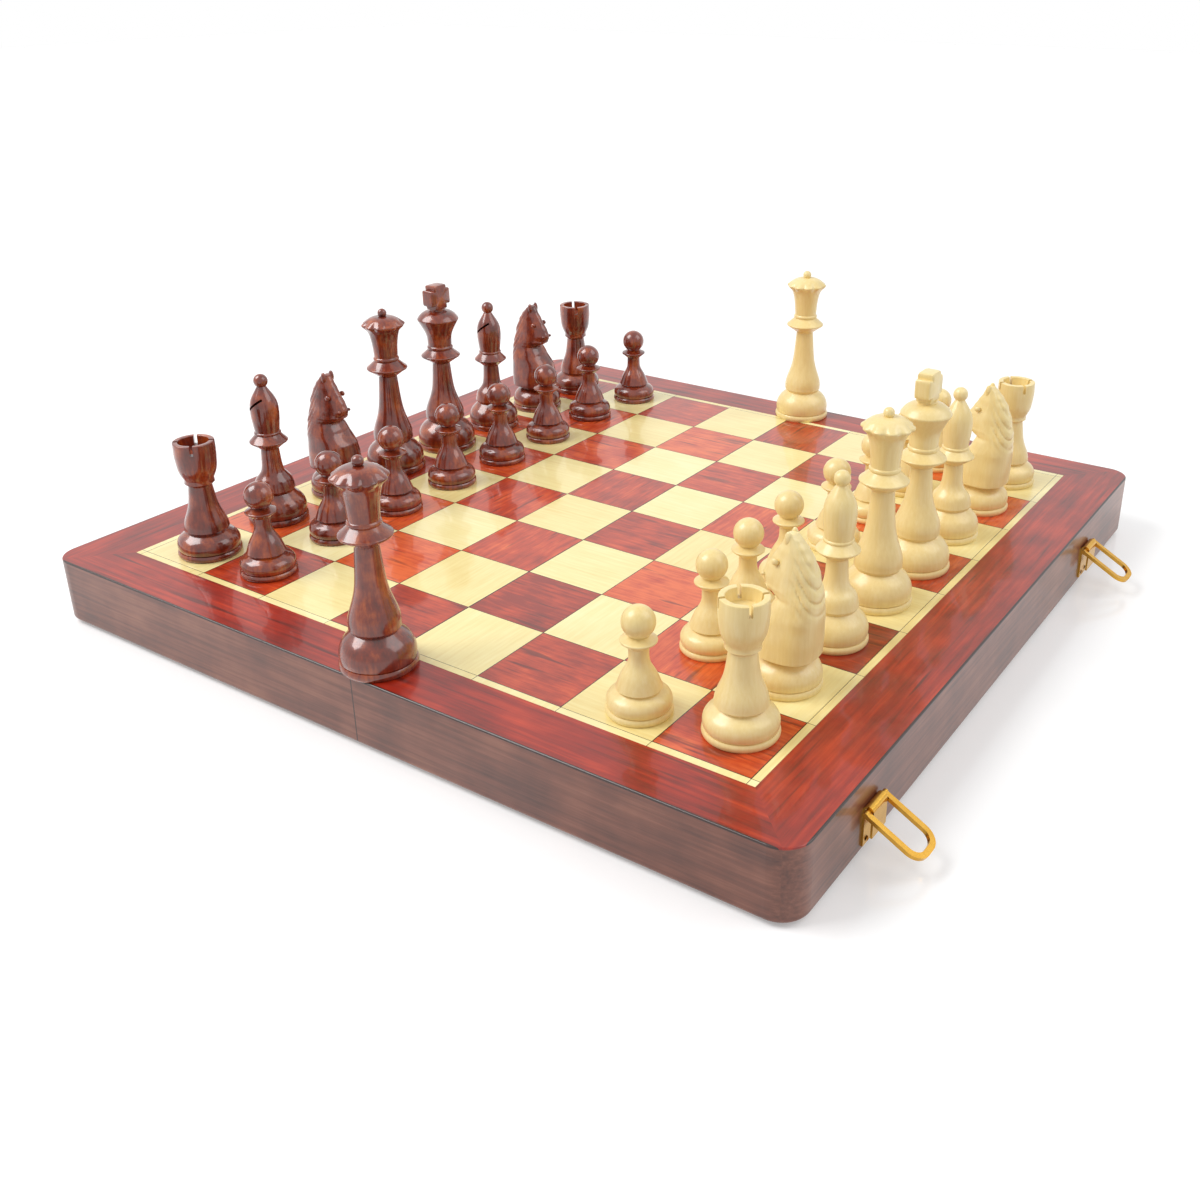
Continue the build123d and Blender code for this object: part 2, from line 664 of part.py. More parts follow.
def knight():
    """Knight, looking along +X: turned foot with a carved head and a rounded back."""
    seat_z = 14.6
    plate_back = 13.6
    plate_half_width = 12.8

    def draw():
        foot_line(KNIGHT_FOOT, 3.0, (11.0, 11.0), (9.0, 12.6), (9.0, seat_z + 0.4))
        Line((9.0, seat_z + 0.4), (0, seat_z + 0.4))
        Line((0, seat_z + 0.4), (0, 0))

    foot = turned(draw)
    with BuildPart() as envelope:
        for z, half_length, half_width in (
            (seat_z - 1.0, plate_back + 0.1, plate_half_width),
            (38.0, 12.6, 10.2),
            (KNIGHT_HEIGHT + 1.0, 11.6, 4.6),
        ):
            with BuildSketch(Plane.XY.offset(z)):
                with Locations((-0.6, 0)):
                    Ellipse(half_length, half_width)
        loft()
    with BuildPart() as head:
        with BuildSketch(Plane.XZ):
            with BuildLine():
                Line((11.4, seat_z), (-plate_back, seat_z))
                Spline((-plate_back, seat_z), (-13.2, 30.0), (-10.6, 49.0), (-3.6, 60.4))
                Line((-3.6, 60.4), (1.2, KNIGHT_HEIGHT))
                Line((1.2, KNIGHT_HEIGHT), (2.8, 58.4))
                Spline((2.8, 58.4), (7.2, 51.6), (10.6, 44.6), (9.2, 40.0))
                Line((9.2, 40.0), (3.0, 38.6))
                Spline((3.0, 38.6), (5.4, 33.0), (10.6, 26.4), (11.4, seat_z))
            make_face()
        extrude(amount=KNIGHT_FOOT, both=True)
        add(envelope.part, mode=Mode.INTERSECT)
    with BuildPart() as finished:
        add(foot)
        add(head.part)
    return finished.part


def place(master, name, x, y, turn=0.0):
    """Stand a copy of a finished piece on the board and write it as its own node."""
    aside, along = OFF_CENTRE.get(name, (0.0, 0.0))
    write(master.moved(Location((x + aside, y + along, TOP_Z), (0, 0, turn))), name)


def write_case():
    """Write every node of the case's two halves and their brass fittings."""
    for side, name in SIDE_NAMES.items():
        write(case_frame(side), f"case_frame_{name}_half")
        write(ply_panel(side), f"ply_panel_{name}_half")
        write(border_veneer(side), f"border_veneer_{name}_half")
        write(inlaid_squares(side, True), f"maple_inlay_{name}_half")
        write(inlaid_squares(side, False), f"red_squares_{name}_half")
        write(field_lining(side), f"backgammon_field_{name}_half")
        write(field_points(side, True), f"pale_points_{name}_half")
        write(field_points(side, False), f"dark_points_{name}_half")
        write(hinge_leaves(side), f"hinge_leaves_{name}_half")
        write(brass_screws(side), f"brass_screws_{name}_half")
    write(hinge_pins(), "hinge_pins")
    write(clasp_plates(), "clasp_plates")
    write(clasp_loop(CLASP_NEAR_Y), "clasp_loop_near")
    write(clasp_loop(CLASP_FAR_Y), "clasp_loop_far")
    write(clasp_hooks(), "clasp_hooks")


def write_pieces():
    """Write the thirty-four chess pieces where they stand."""
    masters = {
        "rook": rook(),
        "bishop": bishop(),
        "knight": knight(),
        "queen": queen(),
        "king": king(),
        "pawn": pawn(),
    }
    orders = {
        DARK: ["rook", "bishop", "knight", "queen", "king", "bishop", "knight", "rook"],
        LIGHT: ["rook", "knight", "bishop", "queen", "king", "bishop", "knight", "rook"],
    }
    pairs = ("rook", "bishop", "knight")
    for side, order in orders.items():
        turn = 0.0 if side == DARK else 180.0
        for file, kind in enumerate(order):
            y = (file + 0.5) * SQUARE - FIELD_Y
            end = "" if kind not in pairs else "_near" if file < FILES / 2 else "_far"
            back_x = FOLD_X + side * (RANKS_PER_HALF - 0.5) * SQUARE
            pawn_x = FOLD_X + side * (RANKS_PER_HALF - 1.5) * SQUARE
            place(masters[kind], f"{SIDE_NAMES[side]}_{kind}{end}", back_x, y, turn)
            place(masters["pawn"], f"{SIDE_NAMES[side]}_pawn_{file + 1}", pawn_x, y)
        spare_y = side * SPARE_QUEEN_Y
        place(masters["queen"], f"{SIDE_NAMES[side]}_queen_spare", FOLD_X + SPARE_QUEEN_X, spare_y)


write_case()
write_pieces()
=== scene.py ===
"""Folding chess and backgammon case with its turned pieces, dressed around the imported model."""

import logging
import math
from dataclasses import dataclass
from enum import Enum
from typing import Callable

import bmesh
import bpy
from mathutils import Matrix, Vector


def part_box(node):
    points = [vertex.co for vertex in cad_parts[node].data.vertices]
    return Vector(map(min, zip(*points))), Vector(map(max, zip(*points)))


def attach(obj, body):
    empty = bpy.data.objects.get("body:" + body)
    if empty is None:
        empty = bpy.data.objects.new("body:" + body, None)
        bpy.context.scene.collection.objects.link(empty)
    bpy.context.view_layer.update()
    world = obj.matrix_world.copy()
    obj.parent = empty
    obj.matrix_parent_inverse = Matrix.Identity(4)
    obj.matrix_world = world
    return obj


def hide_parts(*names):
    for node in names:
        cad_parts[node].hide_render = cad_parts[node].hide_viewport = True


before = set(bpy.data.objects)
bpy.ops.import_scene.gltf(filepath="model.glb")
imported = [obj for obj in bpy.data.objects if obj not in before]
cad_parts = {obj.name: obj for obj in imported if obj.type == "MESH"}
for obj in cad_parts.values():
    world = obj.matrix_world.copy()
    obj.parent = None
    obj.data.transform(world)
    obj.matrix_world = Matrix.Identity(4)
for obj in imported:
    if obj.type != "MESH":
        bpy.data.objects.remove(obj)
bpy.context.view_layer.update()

Tree = bpy.types.NodeTree
Node = bpy.types.Node
Socket = bpy.types.NodeSocket
Material = bpy.types.Material
Mesh = bpy.types.Mesh
Pair = tuple[float, float]
Triple = tuple[float, float, float]
Carving = Callable[[float, float], float]

MATH = "ShaderNodeMath"
VECTOR_MATH = "ShaderNodeVectorMath"
MIX = "ShaderNodeMix"
NOISE = "ShaderNodeTexNoise"
COMBINE = "ShaderNodeCombineXYZ"

LOG = logging.getLogger("games_case")
MM = 0.001
SIDES = ("dark", "light")

# Sizes of the case in millimetres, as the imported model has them
SQUARE = 40.0
RIM_Z = 1.6
HALF_LENGTH = 191.8
HALF_WIDTH = 187.1

# Half the width of the painted shade line at the fold, in millimetres, and the colours of the dark lines
# (painted shade at the fold and along the border's edge, joint lines round the squares) and of veins
FOLD_SHADE_LINE = 0.3
SEAM_AND_SHADE_COLOUR = "2C120A"
FLECK_COLOUR = "4A0F07"

# How fine a vein is beside a streak, and the noise levels at which it starts and is full
FLECK_SCALE = 0.55
FLECK_START = 0.60
FLECK_FULL = 0.70

# How far chance moves a square's grain, in streaks, and how deep the pores are, in millimetres
GRAIN_SHIFT = 40.0
PORE_DEPTH = 0.2

# The fold lies at the inner edge of the light half's panel
FOLD_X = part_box("ply_panel_light_half")[0].x / MM


def linear(code: str) -> tuple[float, float, float, float]:
    """Turn an sRGB hex colour to linear.

    Args:
        code: Six hex digits, without a hash sign.

    Returns:
        Linear red, green, blue and an alpha of 1.
    """
    values = [int(code[i:i + 2], 16) / 255 for i in (0, 2, 4)]
    curve = [v / 12.92 if v <= 0.04045 else ((v + 0.055) / 1.055) ** 2.4 for v in values]
    return (curve[0], curve[1], curve[2], 1.0)


def add_node(tree: Tree, kind: str, inputs: dict | None = None, **settings: object) -> Node:
    """Add a node with its settings, values and links.

    Args:
        tree: The tree that gets the node.
        kind: The node's type name.
        inputs: Socket name or index to a value or to the socket that feeds it.
        settings: Properties of the node itself.

    Returns:
        The new node.
    """
    node = tree.nodes.new(kind)
    for key, value in settings.items():
        setattr(node, key, value)
    for key, value in (inputs or {}).items():
        if isinstance(value, Socket):
            tree.links.new(value, node.inputs[key])
        else:
            node.inputs[key].default_value = value
    return node


class Grain(Enum):
    """The way the grain of a wood runs on its piece."""

    ALONG_FOLD = "along_fold"
    UPRIGHT = "upright"
    BY_SQUARE = "by_square"
    ROUND_THE_BORDER = "round_the_border"


@dataclass(frozen=True)
class WoodFinish:
    """A wood under lacquer: streaks of a real width, stretched along the grain."""

    name: str
    deep: str
    body: str
    bright: str
    grain: Grain
    streak_mm: float = 2.2
    stretch: float = 16.0
    mottle_mm: float = 18.0
    mottle: float = 0.35
    roughness: float = 0.32
    coat: float = 0.6
    coat_roughness: float = 0.08
    bump: float = 0.04
    tone_spread: float = 0.0
    contrast: float = 0.2
    fleck: float = 0.0
    # Width of the dark joint lines round the squares; any width here also turns on the painted shade line at
    # the fold
    seam_and_shade_mm: float = 0.0
    # Width of the painted shade band along the border's rounded outer edge
    edge_shade_mm: float = 0.0

    def _from_fold(self, tree: Tree, coords: Socket) -> Socket:
        """Measure the coordinates from the fold."""
        fold = (FOLD_X * MM, 0.0, 0.0)
        return add_node(tree, VECTOR_MATH, {0: coords, 1: fold}, operation="SUBTRACT").outputs[0]

    def _in_squares(self, tree: Tree, coords: Socket) -> Socket:
        """Count the coordinates in squares, from the fold.

        Args:
            tree: The material's tree.
            coords: The object coordinates.

        Returns:
            The counted coordinates, with no height.
        """
        moved = self._from_fold(tree, coords)
        cell = (1 / (SQUARE * MM), 1 / (SQUARE * MM), 0.0)
        return add_node(tree, VECTOR_MATH, {0: moved, 1: cell}, operation="MULTIPLY").outputs[0]

    def _seams_and_shade(self, tree: Tree, coords: Socket) -> Socket:
        """Find the thin dark lines: painted shade at the fold and along the border's rounded edge, and joint
        lines round the squares.

        Args:
            tree: The material's tree.
            coords: The object coordinates.

        Returns:
            A socket that is 1 on a line and 0 elsewhere.
        """
        moved = self._from_fold(tree, coords)
        away = add_node(tree, VECTOR_MATH, {0: moved}, operation="ABSOLUTE").outputs[0]
        apart = add_node(tree, "ShaderNodeSeparateXYZ", {0: away})
        # Painted shade: a dark line on each side of the fold, where the two halves meet
        lines = [add_node(tree, MATH, {0: apart.outputs[0], 1: FOLD_SHADE_LINE * MM}, operation="LESS_THAN")]
        if self.grain is Grain.BY_SQUARE:
            squares = self._in_squares(tree, coords)
            part = add_node(tree, VECTOR_MATH, {0: squares}, operation="FRACTION").outputs[0]
            halves = {0: part, 1: (0.5, 0.5, 0.0)}
            middle = add_node(tree, VECTOR_MATH, halves, operation="SUBTRACT").outputs[0]
            out = add_node(tree, VECTOR_MATH, {0: middle}, operation="ABSOLUTE").outputs[0]
            edges = add_node(tree, "ShaderNodeSeparateXYZ", {0: out})
            limit = 0.5 - self.seam_and_shade_mm / SQUARE
            for axis in (0, 1):
                near = {0: edges.outputs[axis], 1: limit}
                lines.append(add_node(tree, MATH, near, operation="GREATER_THAN"))
        # Painted shade: a dark band along the border's rounded outer edge
        if self.edge_shade_mm:
            for axis, reach in ((0, HALF_LENGTH), (1, HALF_WIDTH)):
                near = {0: apart.outputs[axis], 1: (reach - self.edge_shade_mm) * MM}
                lines.append(add_node(tree, MATH, near, operation="GREATER_THAN"))
        found = lines[0].outputs[0]
        for line in lines[1:]:
            found = add_node(tree, MATH, {0: found, 1: line.outputs[0]}, operation="MAXIMUM").outputs[0]
        return found

    def _along(self, tree: Tree, coords: Socket, axis: int) -> Socket:
        """Scale coordinates so that one unit is a streak's width, longer along the grain.

        Args:
            tree: The material's tree.
            coords: The object coordinates.
            axis: The axis that the grain follows, 0 to 2.

        Returns:
            The scaled coordinates.
        """
        across = 1.0 / (self.streak_mm * MM)
        scale = [across, across, across]
        scale[axis] = across / self.stretch
        return add_node(tree, VECTOR_MATH, {0: coords, 1: scale}, operation="MULTIPLY").outputs[0]

    def _mitre(self, tree: Tree, coords: Socket) -> Socket:
        """Tell the ends of the board from its sides, which meet at mitres.

        Args:
            tree: The material's tree.
            coords: The object coordinates.

        Returns:
            A socket that is 1 at the ends and 0 at the sides.
        """
        apart = add_node(tree, "ShaderNodeSeparateXYZ", {0: coords}).outputs
        from_fold = add_node(tree, MATH, {0: apart[0], 1: FOLD_X * MM}, operation="SUBTRACT").outputs[0]
        reach = add_node(tree, MATH, {0: from_fold}, operation="ABSOLUTE").outputs[0]
        side = add_node(tree, MATH, {0: apart[1]}, operation="ABSOLUTE").outputs[0]
        beyond = add_node(tree, MATH, {0: reach, 1: side}, operation="SUBTRACT").outputs[0]
        return add_node(tree, MATH, {0: beyond, 1: 0.0}, operation="GREATER_THAN").outputs[0]

    def _grain_vector(self, tree: Tree, coords: Socket) -> tuple[Socket, Socket | None]:
        """Find the coordinates of the grain and a random tone for each square.

        Args:
            tree: The material's tree.
            coords: The object coordinates.

        Returns:
            The vector socket and the tone socket, which is None on one piece of wood.
        """
        if self.grain is Grain.UPRIGHT:
            return self._along(tree, coords, 2), None
        if self.grain is Grain.ALONG_FOLD:
            return self._along(tree, coords, 1), None
        along_x = self._along(tree, coords, 0)
        along_y = self._along(tree, coords, 1)
        tone = None
        if self.grain is Grain.ROUND_THE_BORDER:
            choice = self._mitre(tree, coords)
        else:
            squares = self._in_squares(tree, coords)
            floor = add_node(tree, VECTOR_MATH, {0: squares}, operation="FLOOR").outputs[0]
            cell = {"Vector": floor}
            noise = add_node(tree, "ShaderNodeTexWhiteNoise", cell, noise_dimensions="3D").outputs
            tone = noise["Value"]
            parts = add_node(tree, "ShaderNodeSeparateColor", {0: noise["Color"]}).outputs
            choice = add_node(tree, MATH, {0: parts[1], 1: 0.5}, operation="GREATER_THAN").outputs[0]
            chance = {0: noise["Color"], "Scale": GRAIN_SHIFT}
            shift = add_node(tree, VECTOR_MATH, chance, operation="SCALE").outputs[0]
            along_x = add_node(tree, VECTOR_MATH, {0: along_x, 1: shift}).outputs[0]
            along_y = add_node(tree, VECTOR_MATH, {0: along_y, 1: shift}).outputs[0]
        mixed = add_node(tree, MIX, {0: choice, 4: along_x, 5: along_y}, data_type="VECTOR")
        return mixed.outputs[1], tone

    def _stain(self, tree: Tree, level: Socket) -> Socket:
        """Colour the grain from deep over body to bright.

        Args:
            tree: The material's tree.
            level: The grain's level, about 0.5 in the middle.

        Returns:
            The colour.
        """
        ramp = add_node(tree, "ShaderNodeValToRGB", {0: level})
        stops = ramp.color_ramp.elements
        stops[0].position = 0.5 - self.contrast
        stops[0].color = linear(self.deep)
        stops[1].position = 0.5 + self.contrast
        stops[1].color = linear(self.bright)
        middle = stops.new(0.5)
        middle.color = linear(self.body)
        return ramp.outputs[0]

    def _veins(self, tree: Tree, vector: Socket, colour: Socket) -> Socket:
        """Darken a few coarse veins along the grain.

        Args:
            tree: The material's tree.
            vector: The coordinates of the grain.
            colour: The colour under the veins.

        Returns:
            The colour with its veins.
        """
        wide = add_node(tree, VECTOR_MATH, {0: vector, "Scale": FLECK_SCALE}, operation="SCALE").outputs[0]
        veins = add_node(tree, NOISE, {"Vector": wide, "Scale": 1.0, "Detail": 2.0})
        limits = {0: veins.outputs[0], 1: FLECK_START, 2: FLECK_FULL, 3: 0.0, 4: self.fleck}
        amount = add_node(tree, "ShaderNodeMapRange", limits).outputs[0]
        dark = {0: amount, 6: colour, 7: linear(FLECK_COLOUR)}
        return add_node(tree, MIX, dark, data_type="RGBA").outputs[2]

    def build(self) -> Material:
        """Build the material.

        Returns:
            The finished material.
        """
        material = bpy.data.materials.new(self.name)
        material.use_nodes = True
        tree = material.node_tree
        tree.nodes.clear()
        coords = add_node(tree, "ShaderNodeTexCoord").outputs["Object"]
        vector, tone = self._grain_vector(tree, coords)
        fine = {"Vector": vector, "Scale": 1.0, "Detail": 5.0, "Roughness": 0.6}
        streaks = add_node(tree, NOISE, fine).outputs[0]
        broad = {"Vector": coords, "Scale": 1.0 / (self.mottle_mm * MM), "Detail": 3.0}
        clouds = add_node(tree, NOISE, broad).outputs[0]
        level = add_node(tree, MIX, {0: self.mottle, 2: streaks, 3: clouds}, data_type="FLOAT").outputs[0]
        if tone is not None:
            centred = add_node(tree, MATH, {0: tone, 1: 0.5}, operation="SUBTRACT").outputs[0]
            toned = {0: centred, 1: self.tone_spread, 2: level}
            level = add_node(tree, MATH, toned, operation="MULTIPLY_ADD").outputs[0]
        colour = self._stain(tree, level)
        if self.fleck:
            colour = self._veins(tree, vector, colour)
        # Painted shade at the fold and along the border's edge, and dark joint lines round the squares
        if self.seam_and_shade_mm:
            dark = {0: self._seams_and_shade(tree, coords), 6: colour, 7: linear(SEAM_AND_SHADE_COLOUR)}
            colour = add_node(tree, MIX, dark, data_type="RGBA").outputs[2]
        pores = {"Strength": self.bump, "Distance": PORE_DEPTH * MM, "Height": streaks}
        shader = add_node(
            tree,
            "ShaderNodeBsdfPrincipled",
            {
                "Base Color": colour,
                "Roughness": self.roughness,
                "Coat Weight": self.coat,
                "Coat Roughness": self.coat_roughness,
                "Normal": add_node(tree, "ShaderNodeBump", pores).outputs[0],
            },
        )
        add_node(tree, "ShaderNodeOutputMaterial", {0: shader.outputs[0]})
        return material


@dataclass(frozen=True)
class BrassFinish:
    """Rolled and polished yellow brass: warm reflections with faint cloudy wear."""

    name: str = "polished_rolled_brass"
    colour: str = "E3B352"
    worn: str = "C9963A"
    wear_mm: float = 3.0
    roughness: float = 0.22

    def build(self) -> Material:
        """Build the material.

        Returns:
            The finished material.
        """
        material = bpy.data.materials.new(self.name)
        material.use_nodes = True
        tree = material.node_tree
        tree.nodes.clear()
        coords = add_node(tree, "ShaderNodeTexCoord").outputs["Object"]
        wear = add_node(tree, NOISE, {"Vector": coords, "Scale": 1 / (self.wear_mm * MM), "Detail": 3.0})
        tint = add_node(
            tree,
            MIX,
            {0: wear.outputs[0], 6: linear(self.worn), 7: linear(self.colour)},
            data_type="RGBA",
        )
        shader = add_node(
            tree,
            "ShaderNodeBsdfPrincipled",
            {"Base Color": tint.outputs[2], "Metallic": 1.0, "Roughness": self.roughness},
        )
        add_node(tree, "ShaderNodeOutputMaterial", {0: shader.outputs[0]})
        return material


# Real pores are about 0.2 mm wide, too fine to show, so every streak is drawn some 1.2 to 2.2 mm wide
FINISHES = {
    # Walnut, planed and lacquered: long brown streaks round the walls under a soft sheen, with a painted
    # shade line at the fold
    "walnut": WoodFinish(
        "lacquered_walnut", "45221A", "774433", "9A624C", Grain.ROUND_THE_BORDER,
        streak_mm=1.5, stretch=34.0, mottle=0.5, mottle_mm=26.0, roughness=0.34, coat=0.35,
        coat_roughness=0.07, seam_and_shade_mm=FOLD_SHADE_LINE,
    ),
    # Sliced veneer, stained red and lacquered to a gloss: dark veins under clear reflections, with painted
    # shade at the fold and a painted shade band along the rounded outer edge
    "red_border": WoodFinish(
        "red_stained_border_veneer", "5A0E05", "97200A", "C43A14", Grain.ROUND_THE_BORDER,
        streak_mm=2.2, stretch=20.0, mottle=0.4, mottle_mm=24.0, coat=0.4, coat_roughness=0.05, fleck=0.85,
        seam_and_shade_mm=FOLD_SHADE_LINE, edge_shade_mm=0.8,
    ),
    # The same stained veneer cut into squares, so that chance turns and tones each of them, with dark joint
    # lines round them and a painted shade line at the fold
    "red_squares": WoodFinish(
        "red_stained_square_veneer", "8C2008", "C03E16", "E2672E", Grain.BY_SQUARE,
        streak_mm=1.7, stretch=10.0, mottle=0.45, mottle_mm=12.0, coat=0.6, coat_roughness=0.05,
        tone_spread=0.34, fleck=0.65, seam_and_shade_mm=0.28,
    ),
    # Sliced maple under clear gloss lacquer: pale and nearly even, with faint streaks, fine dark joint lines
    # and a painted shade line at the fold
    "maple": WoodFinish(
        "clear_lacquered_maple", "EBD48A", "F6E6A4", "FDF3BE", Grain.BY_SQUARE,
        streak_mm=1.4, stretch=18.0, mottle=0.35, roughness=0.3, coat=0.6, coat_roughness=0.06,
        tone_spread=0.3, contrast=0.3, seam_and_shade_mm=0.12,
    ),
    # Walnut lining with a thin satin coat, which scatters most of the light
    "field": WoodFinish(
        "satin_walnut_lining", "3A2015", "5A3322", "7A4A30", Grain.ALONG_FOLD, roughness=0.45, coat=0.2
    ),
    # Hardwood turned on a lathe, stained and polished: upright streaks and tight highlights
    "dark_turned": WoodFinish(
        "dark_stained_turned_wood", "45120A", "7A2A12", "B5561F", Grain.UPRIGHT,
        streak_mm=1.5, stretch=8.0, mottle=0.6, mottle_mm=8.0, roughness=0.26, coat=0.8, coat_roughness=0.06,
    ),
    # Boxwood turned on a lathe with a satin coat: almost even, with broad soft highlights
    "boxwood": WoodFinish(
        "satin_boxwood", "E3C57E", "EFD795", "F9E8B4", Grain.UPRIGHT,
        streak_mm=1.2, stretch=14.0, mottle=0.5, roughness=0.38, coat=0.4, coat_roughness=0.16, contrast=0.36,
    ),
}


class Outline:
    """A turner's template: radius and height in millimetres, from the axis out and up.

    On every foot the base disc's edge stands in by EDGE and the swell above it bows by SWELL. The
    groove between them and its upper lip lie GROOVE and LIP in from the foot and up from the disc.
    """

    EDGE = 0.6
    SWELL = (0.9, 0.6)
    GROOVE = (1.2, 0.15)
    LIP = (0.75, 0.4)

    def __init__(self, radius: float, height: float) -> None:
        """Start the outline at a point."""
        self.points: list[Pair] = [(radius, height)]

    def line(self, *ends: Pair) -> "Outline":
        """Go straight to each of the given points."""
        self.points.extend(ends)
        return self

    def arc(self, middle: Pair, end: Pair, steps: int = 8) -> "Outline":
        """Go on a round arc through a middle point.

        Args:
            middle: A point on the arc.
            end: The arc's last point.
            steps: How many straight pieces stand for it.

        Returns:
            The outline itself.
        """
        (ax, ay), (bx, by), (cx, cy) = self.points[-1], middle, end
        d = 2 * (ax * (by - cy) + bx * (cy - ay) + cx * (ay - by))
        a2, b2, c2 = ax * ax + ay * ay, bx * bx + by * by, cx * cx + cy * cy
        ux = (a2 * (by - cy) + b2 * (cy - ay) + c2 * (ay - by)) / d
        uy = (a2 * (cx - bx) + b2 * (ax - cx) + c2 * (bx - ax)) / d
        radius = math.hypot(ax - ux, ay - uy)
        start = math.atan2(ay - uy, ax - ux)
        through = (math.atan2(by - uy, bx - ux) - start) % math.tau
        sweep = (math.atan2(cy - uy, cx - ux) - start) % math.tau
        if through > sweep:
            sweep -= math.tau
        for step in range(1, steps):
            angle = start + sweep * step / steps
            self.points.append((ux + radius * math.cos(angle), uy + radius * math.sin(angle)))
        self.points.append(end)
        return self

    def smooth(self, *through: Pair, steps: int = 7) -> "Outline":
        """Go on a smooth curve through the given points, by the cubic weights that pass each of them.

        Args:
            through: The points after the last one.
            steps: How many straight pieces stand for each stretch.

        Returns:
            The outline itself.
        """
        knots = [self.points[-1], *through]
        first = (2 * knots[0][0] - knots[1][0], 2 * knots[0][1] - knots[1][1])
        last = (2 * knots[-1][0] - knots[-2][0], 2 * knots[-1][1] - knots[-2][1])
        knots = [first, *knots, last]
        for i in range(1, len(knots) - 2):
            for step in range(1, steps + 1):
                t = step / steps
                weights = (
                    -0.5 * t**3 + t**2 - 0.5 * t,
                    1.5 * t**3 - 2.5 * t**2 + 1,
                    -1.5 * t**3 + 2 * t**2 + 0.5 * t,
                    0.5 * t**3 - 0.5 * t**2,
                )
                near = knots[i - 1:i + 3]
                self.points.append(tuple(sum(w * p[axis] for w, p in zip(weights, near)) for axis in (0, 1)))
        return self

    def foot(self, foot: float, disc: float, bulge: Pair, cove: Pair, skirt: Pair) -> "Outline":
        """Draw a turned foot: rounded base disc, swell, hollow and the skirt's lower edge.

        Args:
            foot: The disc's radius.
            disc: The disc's height.
            bulge: Where the swell ends.
            cove: Where the hollow above it ends.
            skirt: Where the skirt starts.

        Returns:
            The outline itself.
        """
        middle = ((foot + bulge[0]) / 2 + self.SWELL[0], (disc + bulge[1]) / 2 + self.SWELL[1])
        edge = foot - self.EDGE
        self.line((edge, 0)).arc((foot, disc / 2), (edge, disc), 6)
        self.line((foot - self.GROOVE[0], disc + self.GROOVE[1]), (foot - self.LIP[0], disc + self.LIP[1]))
        return self.arc(middle, bulge, 8).line(cove, skirt)


def clamp(value: float) -> float:
    """Keep a value between 0 and 1."""
    return min(1.0, max(0.0, value))


def stand(name: str, data: bpy.types.ID) -> bpy.types.Object:
    """Make an object and put it into the scene.

    Args:
        name: Its name.
        data: Its mesh, lamp or camera.

    Returns:
        The object.
    """
    made = bpy.data.objects.new(name, data)
    bpy.context.scene.collection.objects.link(made)
    return made


def skin(rings: list[list[Vector]]) -> Mesh:
    """Join closed rings of points to one closed mesh; a ring of one point is a pole.

    Args:
        rings: The rings in order, in millimetres, all of one length apart from poles.

    Returns:
        A mesh with its faces outwards, still in millimetres.
    """
    work = bmesh.new()
    rows = [[work.verts.new(p) for p in ring] for ring in rings]
    for low, high in zip(rows, rows[1:]):
        count = max(len(low), len(high))
        for i in range(count):
            j = (i + 1) % count
            if len(low) == 1:
                work.faces.new((low[0], high[i], high[j]))
            elif len(high) == 1:
                work.faces.new((low[i], low[j], high[0]))
            else:
                work.faces.new((low[i], low[j], high[j], high[i]))
    for row in (rows[0], rows[-1]):
        if len(row) > 1:
            work.faces.new(row)
    bmesh.ops.recalc_face_normals(work, faces=work.faces)
    mesh = bpy.data.meshes.new("skin")
    work.to_mesh(mesh)
    work.free()
    return mesh


def lathe(outline: Outline, segments: int = 72, shape: Carving | None = None) -> Mesh:
    """Turn an outline on the upright axis.

    Args:
        outline: The template, whose first and last points are on the axis.
        segments: How many steps the circle has.
        shape: A share of the radius for an angle and a height, for carved rims.

    Returns:
        The mesh, in millimetres.
    """
    rings = []
    for radius, height in outline.points:
        if radius < 1e-6:
            rings.append([Vector((0, 0, height))])
            continue
        ring = []
        for i in range(segments):
            angle = math.tau * i / segments
            share = shape(angle, height) if shape else 1.0
            ring.append(Vector((radius * share * math.cos(angle), radius * share * math.sin(angle), height)))
        rings.append(ring)
    return skin(rings)


def join(*meshes: Mesh) -> Mesh:
    """Put several meshes into the first one.

    Args:
        meshes: The meshes; all but the first are removed.

    Returns:
        The first mesh.
    """
    work = bmesh.new()
    for mesh in meshes:
        work.from_mesh(mesh)
    work.to_mesh(meshes[0])
    work.free()
    for mesh in meshes[1:]:
        bpy.data.meshes.remove(mesh)
    return meshes[0]


def box_mesh(size: Triple, turn: Matrix) -> Mesh:
    """Make a box in millimetres.

    Args:
        size: Its length along each axis.
        turn: The matrix that turns and places it.

    Returns:
        The mesh.
    """
    work = bmesh.new()
    bmesh.ops.create_cube(work, size=1.0, matrix=turn @ Matrix.Diagonal((*size, 1.0)))
    mesh = bpy.data.meshes.new("box")
    work.to_mesh(mesh)
    work.free()
    return mesh


def carve(body: Mesh, *cutters: Mesh) -> Mesh:
    """Cut solids out of a body.

    Args:
        body: The mesh that is cut.
        cutters: What is taken away from it.

    Returns:
        The cut mesh; the others are removed.
    """
    target = stand("carved", body)
    tools = []
    for cutter in cutters:
        tool = stand("cutter", cutter)
        tools.append(tool)
        cut = target.modifiers.new("cut", "BOOLEAN")
        cut.operation = "DIFFERENCE"
        cut.solver = "EXACT"
        cut.object = tool
    bpy.context.view_layer.update()
    result = bpy.data.meshes.new_from_object(target.evaluated_get(bpy.context.evaluated_depsgraph_get()))
    for used in (target, *tools):
        data = used.data
        bpy.data.objects.remove(used)
        bpy.data.meshes.remove(data)
    return result


@dataclass
class Chessman:
    """A kind of chess piece: its sizes in millimetres and the mesh that all its copies share in form."""

    height: float
    foot: float

    def form(self) -> Mesh:
        """Build the piece on the axis with its foot at zero, in millimetres."""
        raise NotImplementedError


